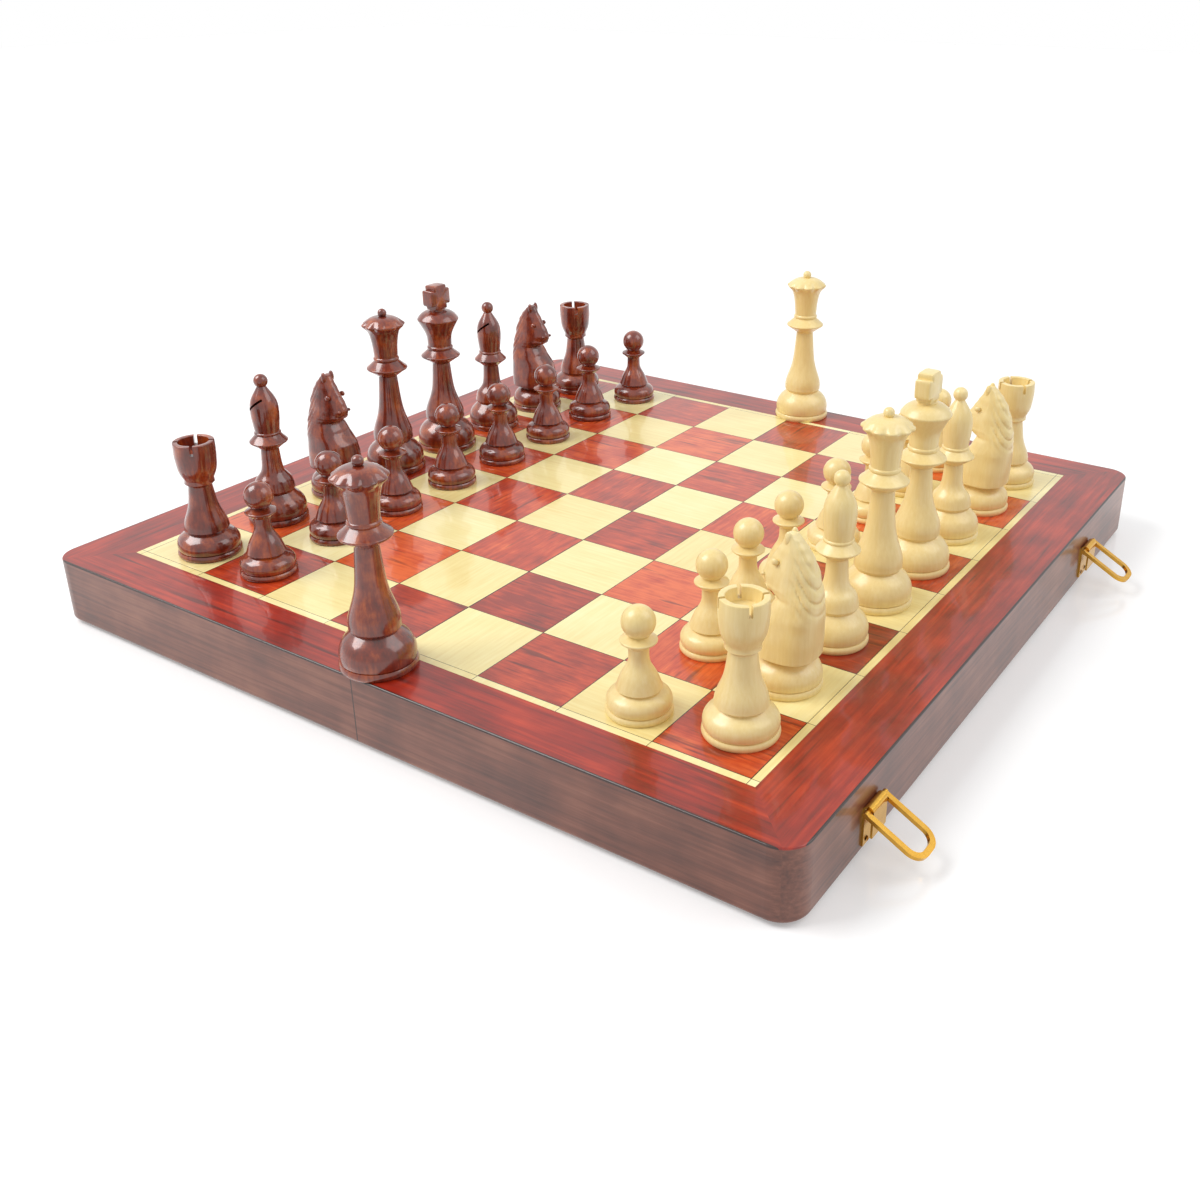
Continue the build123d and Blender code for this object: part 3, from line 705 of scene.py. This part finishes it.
@dataclass
class Pawn(Chessman):
    """Pawn: foot, waisted stem, thin collar and ball."""

    height: float = 42.8
    foot: float = 12.5
    ball: float = 6.3
    collar_z: float = 29.3

    def form(self) -> Mesh:
        """Turn the pawn.

        Returns:
            The mesh, in millimetres.
        """
        neck_z = self.collar_z + 1.9
        centre_z = self.height - self.ball
        start = (math.sqrt(self.ball**2 - (centre_z - neck_z - 0.6) ** 2), neck_z + 0.6)
        line = Outline(0, 0).foot(self.foot, 2.6, (9.6, 8.6), (7.8, 9.6), (8.6, 10.4))
        line.smooth((6.7, 15.4), (4.1, 20.5), (3.7, 26.4)).line((6.6, self.collar_z - 0.5))
        line.arc((6.9, self.collar_z), (6.4, self.collar_z + 0.5), 6).line((3.6, neck_z), start)
        return lathe(line.arc((self.ball, centre_z), (0, self.height), 24))


@dataclass
class Rook(Chessman):
    """Rook: waisted tower with a hollow cup and four narrow slots."""

    height: float = 54.0
    foot: float = 14.2
    cup: float = 9.1
    bowl: float = 6.7
    bowl_depth: float = 5.0
    slot_width: float = 1.4
    slot_depth: float = 4.2
    saw_past: float = 2.0

    def form(self) -> Mesh:
        """Turn the tower and saw its slots, with a saw that runs past the cup.

        Returns:
            The mesh, in millimetres.
        """
        line = Outline(0, 0).foot(self.foot, 2.8, (11.2, 9.8), (9.0, 11.4), (10.0, 12.6))
        line.smooth((9.2, 16.4), (6.6, 23.4), (5.1, 33.2)).line((6.6, 34.6), (6.4, 36.2))
        line.smooth((8.3, 41.0), (self.cup, 48.0)).line((self.cup - 0.15, self.height - 0.4))
        line.arc((self.cup - 0.25, self.height - 0.1), (self.cup - 0.5, self.height), 4)
        line.line((self.bowl + 0.2, self.height))
        line.arc((self.bowl, self.height - 0.1), (self.bowl - 0.1, self.height - 0.4), 4)
        line.line((self.bowl - 0.8, self.height - self.bowl_depth), (0, self.height - self.bowl_depth))
        size = (2 * self.cup + self.saw_past, self.slot_width, 2 * self.slot_depth)
        lift = Matrix.Translation((0, 0, self.height))
        cutters = [box_mesh(size, lift @ Matrix.Rotation(math.radians(a), 4, "Z")) for a in (45, 135)]
        return carve(lathe(line), *cutters)


@dataclass
class Bishop(Chessman):
    """Bishop: slim stem, two collars and a slit mitre with a small ball."""

    height: float = 72.6
    foot: float = 14.2
    ball: float = 3.3
    ball_neck: float = 2.1
    slit: Triple = (9.5, 11.0, 1.1)
    slit_place: Triple = (0.0, -3.4, 58.6)
    slit_tilt: float = -38.0

    def form(self) -> Mesh:
        """Turn the bishop and saw the slit of its mitre.

        Returns:
            The mesh, in millimetres.
        """
        ball_z = self.height - self.ball
        tip = (self.ball_neck, ball_z - math.sqrt(self.ball**2 - self.ball_neck**2))
        line = Outline(0, 0).foot(self.foot, 3.0, (11.0, 12.0), (8.8, 14.4), (9.6, 16.0))
        line.smooth((8.4, 20.6), (5.2, 25.6), (4.2, 36.0))
        line.line((8.5, 39.4)).arc((8.9, 39.9), (8.5, 40.4), 6)
        line.line((5.9, 43.4)).arc((6.2, 44.1), (5.7, 44.8), 6).smooth((6.6, 53.6), (5.9, 60.0), tip)
        line.arc((self.ball, ball_z), (0, self.height), 16)
        tilt = Matrix.Rotation(math.radians(self.slit_tilt), 4, "Y")
        return carve(lathe(line), box_mesh(self.slit, Matrix.Translation(self.slit_place) @ tilt))


@dataclass
class Queen(Chessman):
    """Queen: tall stem, broad collar, scalloped coronet, dome and small ball."""

    height: float = 86.2
    foot: float = 15.4
    rim: float = 11.0
    ball: float = 2.3
    ball_neck: float = 1.7
    scallops: int = 10
    scallop_depth: float = 0.11
    scallop_z: float = 78.2
    scallop_reach: float = 3.4
    steps: int = 120

    def form(self) -> Mesh:
        """Turn the queen with her carved rim.

        Returns:
            The mesh, in millimetres.
        """
        ball_z = self.height - self.ball
        start = (self.ball_neck, ball_z - math.sqrt(self.ball**2 - self.ball_neck**2))
        line = Outline(0, 0).foot(self.foot, 3.2, (11.8, 13.2), (9.2, 15.4), (10.2, 17.0))
        line.smooth((9.8, 22.0), (6.4, 33.4), (4.7, 50.8))
        line.line((10.0, 54.6)).arc((10.4, 55.2), (9.9, 55.8), 6)
        line.line((6.2, 59.2)).arc((6.6, 60.2), (6.0, 61.2), 6)
        line.smooth((6.6, 68.6), (8.0, 74.4), (self.rim - 0.2, 77.6))
        line.arc((self.rim, 78.1), (self.rim - 0.3, 78.6), 4)
        line.line((self.rim - 1.4, 79.4)).arc((6.2, 81.6), start, 10)
        line.arc((self.ball, ball_z), (0, self.height), 14)

        def rim_shape(angle: float, height: float) -> float:
            """Scallop the coronet, most of all at its rim."""
            near = max(0.0, 1.0 - abs(height - self.scallop_z) / self.scallop_reach)
            return 1.0 - self.scallop_depth * near * (0.5 + 0.5 * math.cos(self.scallops * angle)) ** 2

        return lathe(line, self.steps, rim_shape)


@dataclass
class King(Chessman):
    """King: tall stem, broad collar, flared crown and a stout notched cross."""

    height: float = 90.6
    foot: float = 16.0
    crown_top: float = 77.4
    cross_width: float = 14.2
    cross_depth: float = 7.4
    cross_power: int = 5
    cross_steps: int = 96
    notch: float = 0.3
    notch_degrees: float = 8.0

    # Shares of half the cross's depth, and of its outline there, from one face to the other
    FACES = (
        (-1.0, 0.0), (-1.0, 0.84), (-0.86, 0.97), (-0.6, 1.0),
        (0.6, 1.0), (0.86, 0.97), (1.0, 0.84), (1.0, 0.0),
    )

    def _cross(self) -> Mesh:
        """Shape the cross: a rounded block with a notch at each corner, eased at its faces.

        Returns:
            The mesh, in millimetres.
        """
        half_y = self.cross_width / 2
        half_z = (self.height - self.crown_top) / 2
        rings = []
        for share, scale in self.FACES:
            x = share * self.cross_depth / 2
            if scale == 0.0:
                rings.append([Vector((x, 0, self.crown_top + half_z))])
                continue
            ring = []
            for i in range(self.cross_steps):
                angle = math.tau * i / self.cross_steps
                c, s = math.cos(angle), math.sin(angle)
                square = (abs(c) ** self.cross_power + abs(s) ** self.cross_power) ** (-1 / self.cross_power)
                off = (math.degrees(angle) % 90) - 45
                dip = 1.0 - self.notch * math.exp(-((off / self.notch_degrees) ** 2))
                r = square * dip * scale
                ring.append(Vector((x, half_y * r * c, self.crown_top + half_z + half_z * r * s)))
            rings.append(ring)
        return skin(rings)

    def form(self) -> Mesh:
        """Turn the king and set his cross on him.

        Returns:
            The mesh, in millimetres.
        """
        line = Outline(0, 0).foot(self.foot, 3.2, (12.2, 13.2), (9.4, 15.4), (10.4, 17.0))
        line.smooth((10.0, 22.0), (6.2, 33.0), (4.7, 47.8))
        line.line((10.0, 51.4)).arc((10.4, 52.0), (9.9, 52.6), 6)
        line.line((6.5, 55.6)).arc((6.9, 56.6), (6.3, 57.6), 6).smooth((7.0, 64.0), (10.8, 71.6))
        line.arc((11.0, 72.2), (10.7, 72.8), 4).line((10.4, 73.2)).arc((8.0, 75.6), (4.2, 76.8), 8)
        line.line((4.2, self.crown_top + 0.6), (0, self.crown_top + 0.6))
        return join(lathe(line), self._cross())


@dataclass
class Knight(Chessman):
    """Knight: turned foot with a carved head, mane, ears, eyes and mouth, looking along +X."""

    height: float = 63.4
    foot: float = 14.4
    seat: float = 14.6
    levels: int = 96
    steps: int = 96
    squareness: float = 2.6
    muzzle_taper: float = 0.42
    muzzle_z: float = 36.0
    muzzle_run: float = 6.0
    mane_side: float = 0.15
    mane_blend: float = 0.3
    mane_z: float = 30.0
    mane_run: float = 8.0
    groove_depth: float = 0.75
    groove_pitch: float = 2.7
    groove_rise: float = 0.62
    groove_fall: float = 0.9
    groove_sharpness: int = 4
    groove_radius: float = 10.0
    mouth_z: float = 41.6
    mouth_height: float = 0.5
    mouth_side: float = 0.72
    mouth_blend: float = 0.1
    mouth_depth: float = 0.09

    # Heights, with the head's back, its front and half its width there
    BACK = (
        (14.6, -12.9), (22.0, -13.4), (30.0, -13.6), (40.0, -13.2), (48.0, -11.6), (53.0, -9.6),
        (57.0, -7.0), (60.0, -4.4), (61.8, -2.2),
    )
    FRONT = (
        (14.6, 11.3), (20.0, 11.2), (26.4, 10.4), (33.0, 5.6), (37.6, 3.4), (39.6, 6.6), (41.2, 9.6),
        (44.6, 10.5), (48.0, 9.2), (51.6, 7.0), (55.0, 5.0), (58.4, 2.9), (61.8, 1.4),
    )
    HALF = ((14.6, 11.9), (20.0, 11.4), (30.0, 10.0), (38.0, 8.2), (46.0, 6.6), (54.0, 5.0), (61.8, 3.0))

    # Where each raised knob sits on the left, and its radii
    EYE = ((3.6, 4.9, 51.4), (1.5, 1.0, 1.3))
    NOSTRIL = ((9.2, 3.1, 44.6), (0.9, 0.7, 0.8))
    EAR = ((-0.2, 2.5, 60.4), (1.5, 1.1, 2.9))

    def _at(self, table: tuple[Pair, ...], z: float) -> float:
        """Read a smooth value at a height.

        Args:
            table: A few heights and values, from below.
            z: The height.

        Returns:
            The value there.
        """
        for (z0, v0), (z1, v1) in zip(table, table[1:]):
            if z <= z1:
                t = (z - z0) / (z1 - z0)
                t = t * t * (3 - 2 * t) * 0.5 + t * 0.5
                return v0 + (v1 - v0) * t
        return table[-1][1]

    def _cut(self, x: float, z: float, ahead: float) -> float:
        """Find what the grooves of the mane and the mouth leave at a place on the head.

        Args:
            x: How far the place is ahead of the piece's axis.
            z: The place's height.
            ahead: 1 at the face, 0 at the sides and -1 at the back.

        Returns:
            A share of the head's radius.
        """
        mane = clamp((-ahead - self.mane_side) / self.mane_blend) * clamp((z - self.mane_z) / self.mane_run)
        slant = self.groove_rise * z - self.groove_fall * x
        wave = 0.5 + 0.5 * math.cos(math.tau * slant / self.groove_pitch)
        groove = mane * self.groove_depth * wave**self.groove_sharpness / self.groove_radius
        lips = math.exp(-(((z - self.mouth_z) / self.mouth_height) ** 2))
        mouth = lips * clamp((ahead - self.mouth_side) / self.mouth_blend)
        return 1.0 - groove - self.mouth_depth * mouth

    def _head(self) -> Mesh:
        """Carve the head from level slices, with the mane cut into its back.

        Returns:
            The mesh, in millimetres.
        """
        rings = [[Vector((-1, 0, self.seat))]]
        top = self.BACK[-1][0]
        for level in range(self.levels + 1):
            z = self.seat + (top - self.seat) * level / self.levels
            back, front, half = self._at(self.BACK, z), self._at(self.FRONT, z), self._at(self.HALF, z)
            middle, reach = (back + front) / 2, (front - back) / 2
            ring = []
            for i in range(self.steps):
                angle = math.tau * i / self.steps
                c, s = math.cos(angle), math.sin(angle)
                r = (abs(c) ** self.squareness + abs(s) ** self.squareness) ** (-1 / self.squareness)
                narrow = clamp((z - self.muzzle_z) / self.muzzle_run)
                taper = 1.0 - self.muzzle_taper * max(0.0, c) * narrow
                cut = self._cut(middle + reach * r * c, z, c)
                ring.append(Vector((middle + reach * r * c * cut, half * r * s * taper * cut, z)))
            rings.append(ring)
        rings.append([Vector((-0.4, 0, top + 0.5))])
        return skin(rings)

    def _bump(self, centre: Triple, radii: Triple) -> Mesh:
        """Make a rounded knob for an eye, ear or nostril.

        Args:
            centre: Its middle.
            radii: Its radius along each axis.

        Returns:
            The mesh, in millimetres.
        """
        work = bmesh.new()
        place = Matrix.Translation(centre) @ Matrix.Diagonal((*radii, 1.0))
        bmesh.ops.create_uvsphere(work, u_segments=20, v_segments=12, radius=1.0, matrix=place)
        mesh = bpy.data.meshes.new("bump")
        work.to_mesh(mesh)
        work.free()
        return mesh

    def form(self) -> Mesh:
        """Turn the foot and set the carved head on it.

        Returns:
            The mesh, in millimetres.
        """
        line = Outline(0, 0).foot(self.foot, 3.0, (11.0, 11.0), (9.0, 12.6), (9.0, self.seat + 0.4))
        line.line((0, self.seat + 0.4))
        parts = [lathe(line), self._head()]
        for side in (-1, 1):
            for (x, y, z), radii in (self.EYE, self.NOSTRIL, self.EAR):
                parts.append(self._bump((x, side * y, z), radii))
        return join(*parts)


@dataclass
class ChessSet:
    """The thirty-four pieces, each where its node stands; an angle past the crease shows sharp."""

    crease: float = 32.0

    def build(self, finishes: dict[str, Material]) -> int:
        """Make every piece and put it in place of its node.

        Args:
            finishes: The materials by name.

        Returns:
            How many pieces were made.
        """
        forms = {
            "pawn": Pawn().form(),
            "rook": Rook().form(),
            "bishop": Bishop().form(),
            "knight": Knight().form(),
            "queen": Queen().form(),
            "king": King().form(),
        }
        made = 0
        for node in sorted(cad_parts):
            side, _, rest = node.partition("_")
            kind = rest.split("_")[0]
            if side not in SIDES or kind not in forms:
                continue
            low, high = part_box(node)
            place = Matrix.Translation(((low.x + high.x) / 2, (low.y + high.y) / 2, low.z))
            turn = Matrix.Rotation(math.pi if side == "light" else 0.0, 4, "Z")
            mesh = forms[kind].copy()
            mesh.transform(place @ turn @ Matrix.Scale(MM, 4))
            mesh.materials.clear()
            mesh.materials.append(finishes["dark_turned" if side == "dark" else "boxwood"])
            mesh.polygons.foreach_set("use_smooth", [True] * len(mesh.polygons))
            mesh.set_sharp_from_angle(angle=math.radians(self.crease))
            piece = stand(f"turned_{node}", mesh)
            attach(piece, node)
            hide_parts(node)
            made += 1
            LOG.info("piece %s", piece.name)
        for mesh in forms.values():
            bpy.data.meshes.remove(mesh)
        return made


@dataclass
class ScrewHeads:
    """Slotted brass screws: one node tree sets the same head at every place of a half."""

    slot: float = 0.4
    leaf_radius: float = 1.9
    leaf_height: float = 0.3
    end_radius: float = 1.4
    end_height: float = 0.8
    strip: float = 0.8
    hinge_y: tuple[float, float] = (-110.0, 110.0)
    leaf_inset: float = 5.2
    leaf_spacing: float = 13.0
    clasp_y: tuple[float, float] = (-134.0, 110.0)
    clasp_aside: float = 3.1
    clasp_z: float = 6.4
    hook_z: float = 9.8
    crease: float = 30.0

    def _tree(self, brass: Material) -> Tree:
        """Build the tree that puts a slotted head on each point.

        Args:
            brass: The screws' material.

        Returns:
            The tree, with its radius, height and slot as inputs.
        """
        tree = bpy.data.node_groups.new("slotted_heads", "GeometryNodeTree")
        tree.interface.new_socket("Places", in_out="INPUT", socket_type="NodeSocketGeometry")
        for name in ("Radius", "Height", "Slot"):
            tree.interface.new_socket(name, in_out="INPUT", socket_type="NodeSocketFloat")
        tree.interface.new_socket("Heads", in_out="OUTPUT", socket_type="NodeSocketGeometry")
        source = add_node(tree, "NodeGroupInput").outputs
        ball = add_node(tree, "GeometryNodeMeshUVSphere", {"Segments": 24, "Rings": 12, "Radius": 1.0})
        size = add_node(tree, COMBINE, {0: source["Radius"], 1: source["Radius"], 2: source["Height"]})
        shaped = {"Geometry": ball.outputs[0], "Scale": size.outputs[0]}
        dome = add_node(tree, "GeometryNodeTransform", shaped)
        long = add_node(tree, MATH, {0: source["Radius"], 1: 3.0}, operation="MULTIPLY").outputs[0]
        bar_size = add_node(tree, COMBINE, {0: long, 1: source["Slot"], 2: source["Height"]})
        bar = add_node(tree, "GeometryNodeMeshCube", {"Size": bar_size.outputs[0]})
        lift = add_node(tree, COMBINE, {2: source["Height"]})
        moved = {"Geometry": bar.outputs[0], "Translation": lift.outputs[0]}
        raised = add_node(tree, "GeometryNodeTransform", moved)
        solids = {0: dome.outputs[0], 1: raised.outputs[0]}
        cut = add_node(tree, "GeometryNodeMeshBoolean", solids, operation="DIFFERENCE")
        named = {"Name": "outward"}
        outward = add_node(tree, "GeometryNodeInputNamedAttribute", named, data_type="FLOAT_VECTOR")
        turn = add_node(tree, "FunctionNodeAlignRotationToVector", {"Vector": outward.outputs[0]}, axis="Z")
        spread = add_node(
            tree,
            "GeometryNodeInstanceOnPoints",
            {"Points": source["Places"], "Instance": cut.outputs[0], "Rotation": turn.outputs[0]},
        )
        real = add_node(tree, "GeometryNodeRealizeInstances", {0: spread.outputs[0]})
        coat = add_node(tree, "GeometryNodeSetMaterial", {"Geometry": real.outputs[0], "Material": brass})
        add_node(tree, "NodeGroupOutput", {0: coat.outputs[0]})
        return tree

    def _places(self, side: str) -> dict[str, tuple[float, float, Triple, list[Triple]]]:
        """Work out where one half's screws sit, in millimetres.

        Args:
            side: The half, dark or light.

        Returns:
            For each group, its radius, height, outward direction and places.
        """
        sign = 1 if side == "light" else -1
        leaf_x = FOLD_X + sign * self.leaf_inset
        leaf_z = RIM_Z + self.leaf_height
        leaf = [(leaf_x, y + step * self.leaf_spacing, leaf_z) for y in self.hinge_y for step in (-1, 0, 1)]
        wall = FOLD_X + sign * (HALF_LENGTH + self.strip)
        if side == "light":
            beside = (-self.clasp_aside, self.clasp_aside)
            end = [(wall, y + aside, self.clasp_z) for y in self.clasp_y for aside in beside]
        else:
            end = [(wall, y, self.hook_z) for y in self.clasp_y]
        return {
            "leaf": (self.leaf_radius, self.leaf_height, (0, 0, -1), leaf),
            "end": (self.end_radius, self.end_height, (sign, 0, 0), end),
        }

    def _heads(self, tree: Tree, radius: float, height: float, outward: Triple, places: list[Triple]) -> Mesh:
        """Let the tree set a head at every place.

        Args:
            tree: The tree that builds them.
            radius: A head's radius.
            height: A head's height.
            outward: The direction that the heads face.
            places: Where they sit.

        Returns:
            One plain mesh of all the heads, in metres.
        """
        keys = {item.name: item.identifier for item in tree.interface.items_tree if item.in_out == "INPUT"}
        mesh = bpy.data.meshes.new("places")
        mesh.from_pydata([Vector(place) * MM for place in places], [], [])
        for item in mesh.attributes.new("outward", "FLOAT_VECTOR", "POINT").data:
            item.vector = outward
        holder = stand("places", mesh)
        nodes = holder.modifiers.new("heads", "NODES")
        nodes.node_group = tree
        for name, size in (("Radius", radius), ("Height", height), ("Slot", self.slot)):
            nodes[keys[name]] = size * MM
        bpy.context.view_layer.update()
        solid = holder.evaluated_get(bpy.context.evaluated_depsgraph_get())
        heads = bpy.data.meshes.new_from_object(solid)
        bpy.data.objects.remove(holder)
        heads.polygons.foreach_set("use_smooth", [True] * len(heads.polygons))
        heads.set_sharp_from_angle(angle=math.radians(self.crease))
        return heads

    def build(self, brass: Material) -> None:
        """Set every screw's head and let it stand for the half's screws.

        Args:
            brass: The screws' material.
        """
        tree = self._tree(brass)
        for side in SIDES:
            for group, (radius, height, outward, places) in self._places(side).items():
                heads = self._heads(tree, radius, height, outward, places)
                piece = stand(f"{group}_screw_heads_{side}_half", heads)
                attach(piece, f"{side}_half")
                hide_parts(f"brass_screws_{side}_half")
                LOG.info("piece %s: %d screws", piece.name, len(places))


@dataclass
class Case:
    """The two halves and their brass, which keep their own solids and get their finishes."""

    COATS = {
        "case_frame": "walnut",
        "ply_panel": "walnut",
        "border_veneer": "red_border",
        "maple_inlay": "maple",
        "red_squares": "red_squares",
        "backgammon_field": "field",
        "pale_points": "maple",
        "dark_points": "red_border",
        "hinge": "brass",
        "brass": "brass",
        "clasp": "brass",
    }

    def build(self, finishes: dict[str, Material]) -> None:
        """Dress every node of the case.

        Args:
            finishes: The materials by name.
        """
        for name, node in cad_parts.items():
            coat = next((self.COATS[key] for key in self.COATS if name.startswith(key)), None)
            if coat is None:
                continue
            if not node.material_slots:
                node.data.materials.append(finishes[coat])
            for place in node.material_slots:
                place.material = finishes[coat]
            LOG.info("dressed %s in %s", name, coat)


@dataclass(frozen=True)
class Lamp:
    """A square lamp: its place and width in metres and its power in watts."""

    name: str
    place: Triple
    size: float
    power: float


@dataclass
class Studio:
    """Pale floor, soft lights and the camera, all outside the object, in metres and degrees."""

    camera_place: Triple = (0.3187, -0.4652, 0.2812)
    azimuth: float = 33.26
    pitch: float = 24.08
    lens: float = 37.82
    sensor: float = 36.0
    shift: Pair = (-0.0596, -0.0667)
    nearest: float = 0.01
    floor_size: float = 8.0
    floor_colour: str = "E4E4E4"
    floor_roughness: float = 0.16
    floor_glow: float = 0.28
    surround_light: float = 0.5
    surround_seen: float = 1.0
    lamp_aim: Triple = (0.0, 0.0, 0.05)
    lamps: tuple[Lamp, ...] = (
        Lamp("lamp_left", (-0.9, -0.7, 1.3), 1.0, 22.0),
        Lamp("lamp_right", (1.1, 0.5, 1.2), 1.2, 9.0),
    )

    def camera(self) -> None:
        """Stand the camera where the picture was taken from."""
        data = bpy.data.cameras.new("camera")
        data.lens = self.lens
        data.sensor_width = self.sensor
        data.shift_x, data.shift_y = self.shift
        data.clip_start = self.nearest
        camera = stand("camera", data)
        camera.location = self.camera_place
        camera.rotation_euler = (math.radians(90 - self.pitch), 0.0, math.radians(self.azimuth))
        bpy.context.scene.camera = camera

    def _pale(self, tree: Tree) -> Socket:
        """Find the rays that see the backdrop: from the camera, in gloss and through glass.

        Args:
            tree: The tree of the floor or of the world.

        Returns:
            A socket that is 1 for such rays and 0 for those that only light the object.
        """
        path = add_node(tree, "ShaderNodeLightPath").outputs
        either = {0: path["Is Camera Ray"], 1: path["Is Glossy Ray"]}
        seen = add_node(tree, MATH, either, operation="MAXIMUM").outputs[0]
        through = {0: seen, 1: path["Is Transmission Ray"]}
        return add_node(tree, MATH, through, operation="MAXIMUM").outputs[0]

    def floor(self) -> None:
        """Lay the pale glossy table top, which is clear from below."""
        material = bpy.data.materials.new("white_table_top")
        material.use_nodes = True
        tree = material.node_tree
        shader = tree.nodes["Principled BSDF"]
        shader.inputs["Base Color"].default_value = linear(self.floor_colour)
        shader.inputs["Roughness"].default_value = self.floor_roughness
        shader.inputs["Emission Color"].default_value = (1.0, 1.0, 1.0, 1.0)
        glow = add_node(tree, MATH, {0: self._pale(tree), 1: self.floor_glow}, operation="MULTIPLY")
        tree.links.new(glow.outputs[0], shader.inputs["Emission Strength"])
        below = add_node(tree, "ShaderNodeNewGeometry").outputs["Backfacing"]
        clear = add_node(tree, "ShaderNodeBsdfTransparent").outputs[0]
        seen = add_node(tree, "ShaderNodeMixShader", {0: below, 1: shader.outputs[0], 2: clear})
        tree.links.new(seen.outputs[0], tree.nodes["Material Output"].inputs[0])
        work = bmesh.new()
        bmesh.ops.create_grid(work, x_segments=1, y_segments=1, size=self.floor_size / 2)
        mesh = bpy.data.meshes.new("table_top")
        work.to_mesh(mesh)
        work.free()
        mesh.materials.append(material)
        table = stand("table_top", mesh)

    def lights(self) -> None:
        """Hang two soft lamps and set an even surround."""
        for kind in self.lamps:
            data = bpy.data.lights.new(kind.name, "AREA")
            data.size = kind.size
            data.energy = kind.power
            lamp = stand(kind.name, data)
            lamp.location = kind.place
            to_board = Vector(self.lamp_aim) - Vector(kind.place)
            lamp.rotation_euler = to_board.to_track_quat("-Z", "Y").to_euler()
        world = bpy.data.worlds.new("surround")
        world.use_nodes = True
        bpy.context.scene.world = world
        tree = world.node_tree
        back = tree.nodes["Background"]
        back.inputs["Color"].default_value = (1.0, 1.0, 1.0, 1.0)
        levels = {0: self._pale(tree), 2: self.surround_light, 3: self.surround_seen}
        strength = add_node(tree, MIX, levels, data_type="FLOAT")
        tree.links.new(strength.outputs[0], back.inputs["Strength"])

    def build(self) -> None:
        """Set the whole studio up."""
        self.camera()
        self.floor()
        self.lights()
        bpy.context.scene.view_settings.view_transform = "Standard"


def main() -> None:
    """Build the studio, the case and the pieces."""
    logging.basicConfig(level=logging.INFO, format="%(name)s: %(message)s")
    Studio().build()
    finishes = {name: finish.build() for name, finish in FINISHES.items()}
    finishes["brass"] = BrassFinish().build()
    Case().build(finishes)
    ScrewHeads().build(finishes["brass"])
    LOG.info("made %d chess pieces", ChessSet().build(finishes))


if __name__ == "__main__":
    main()
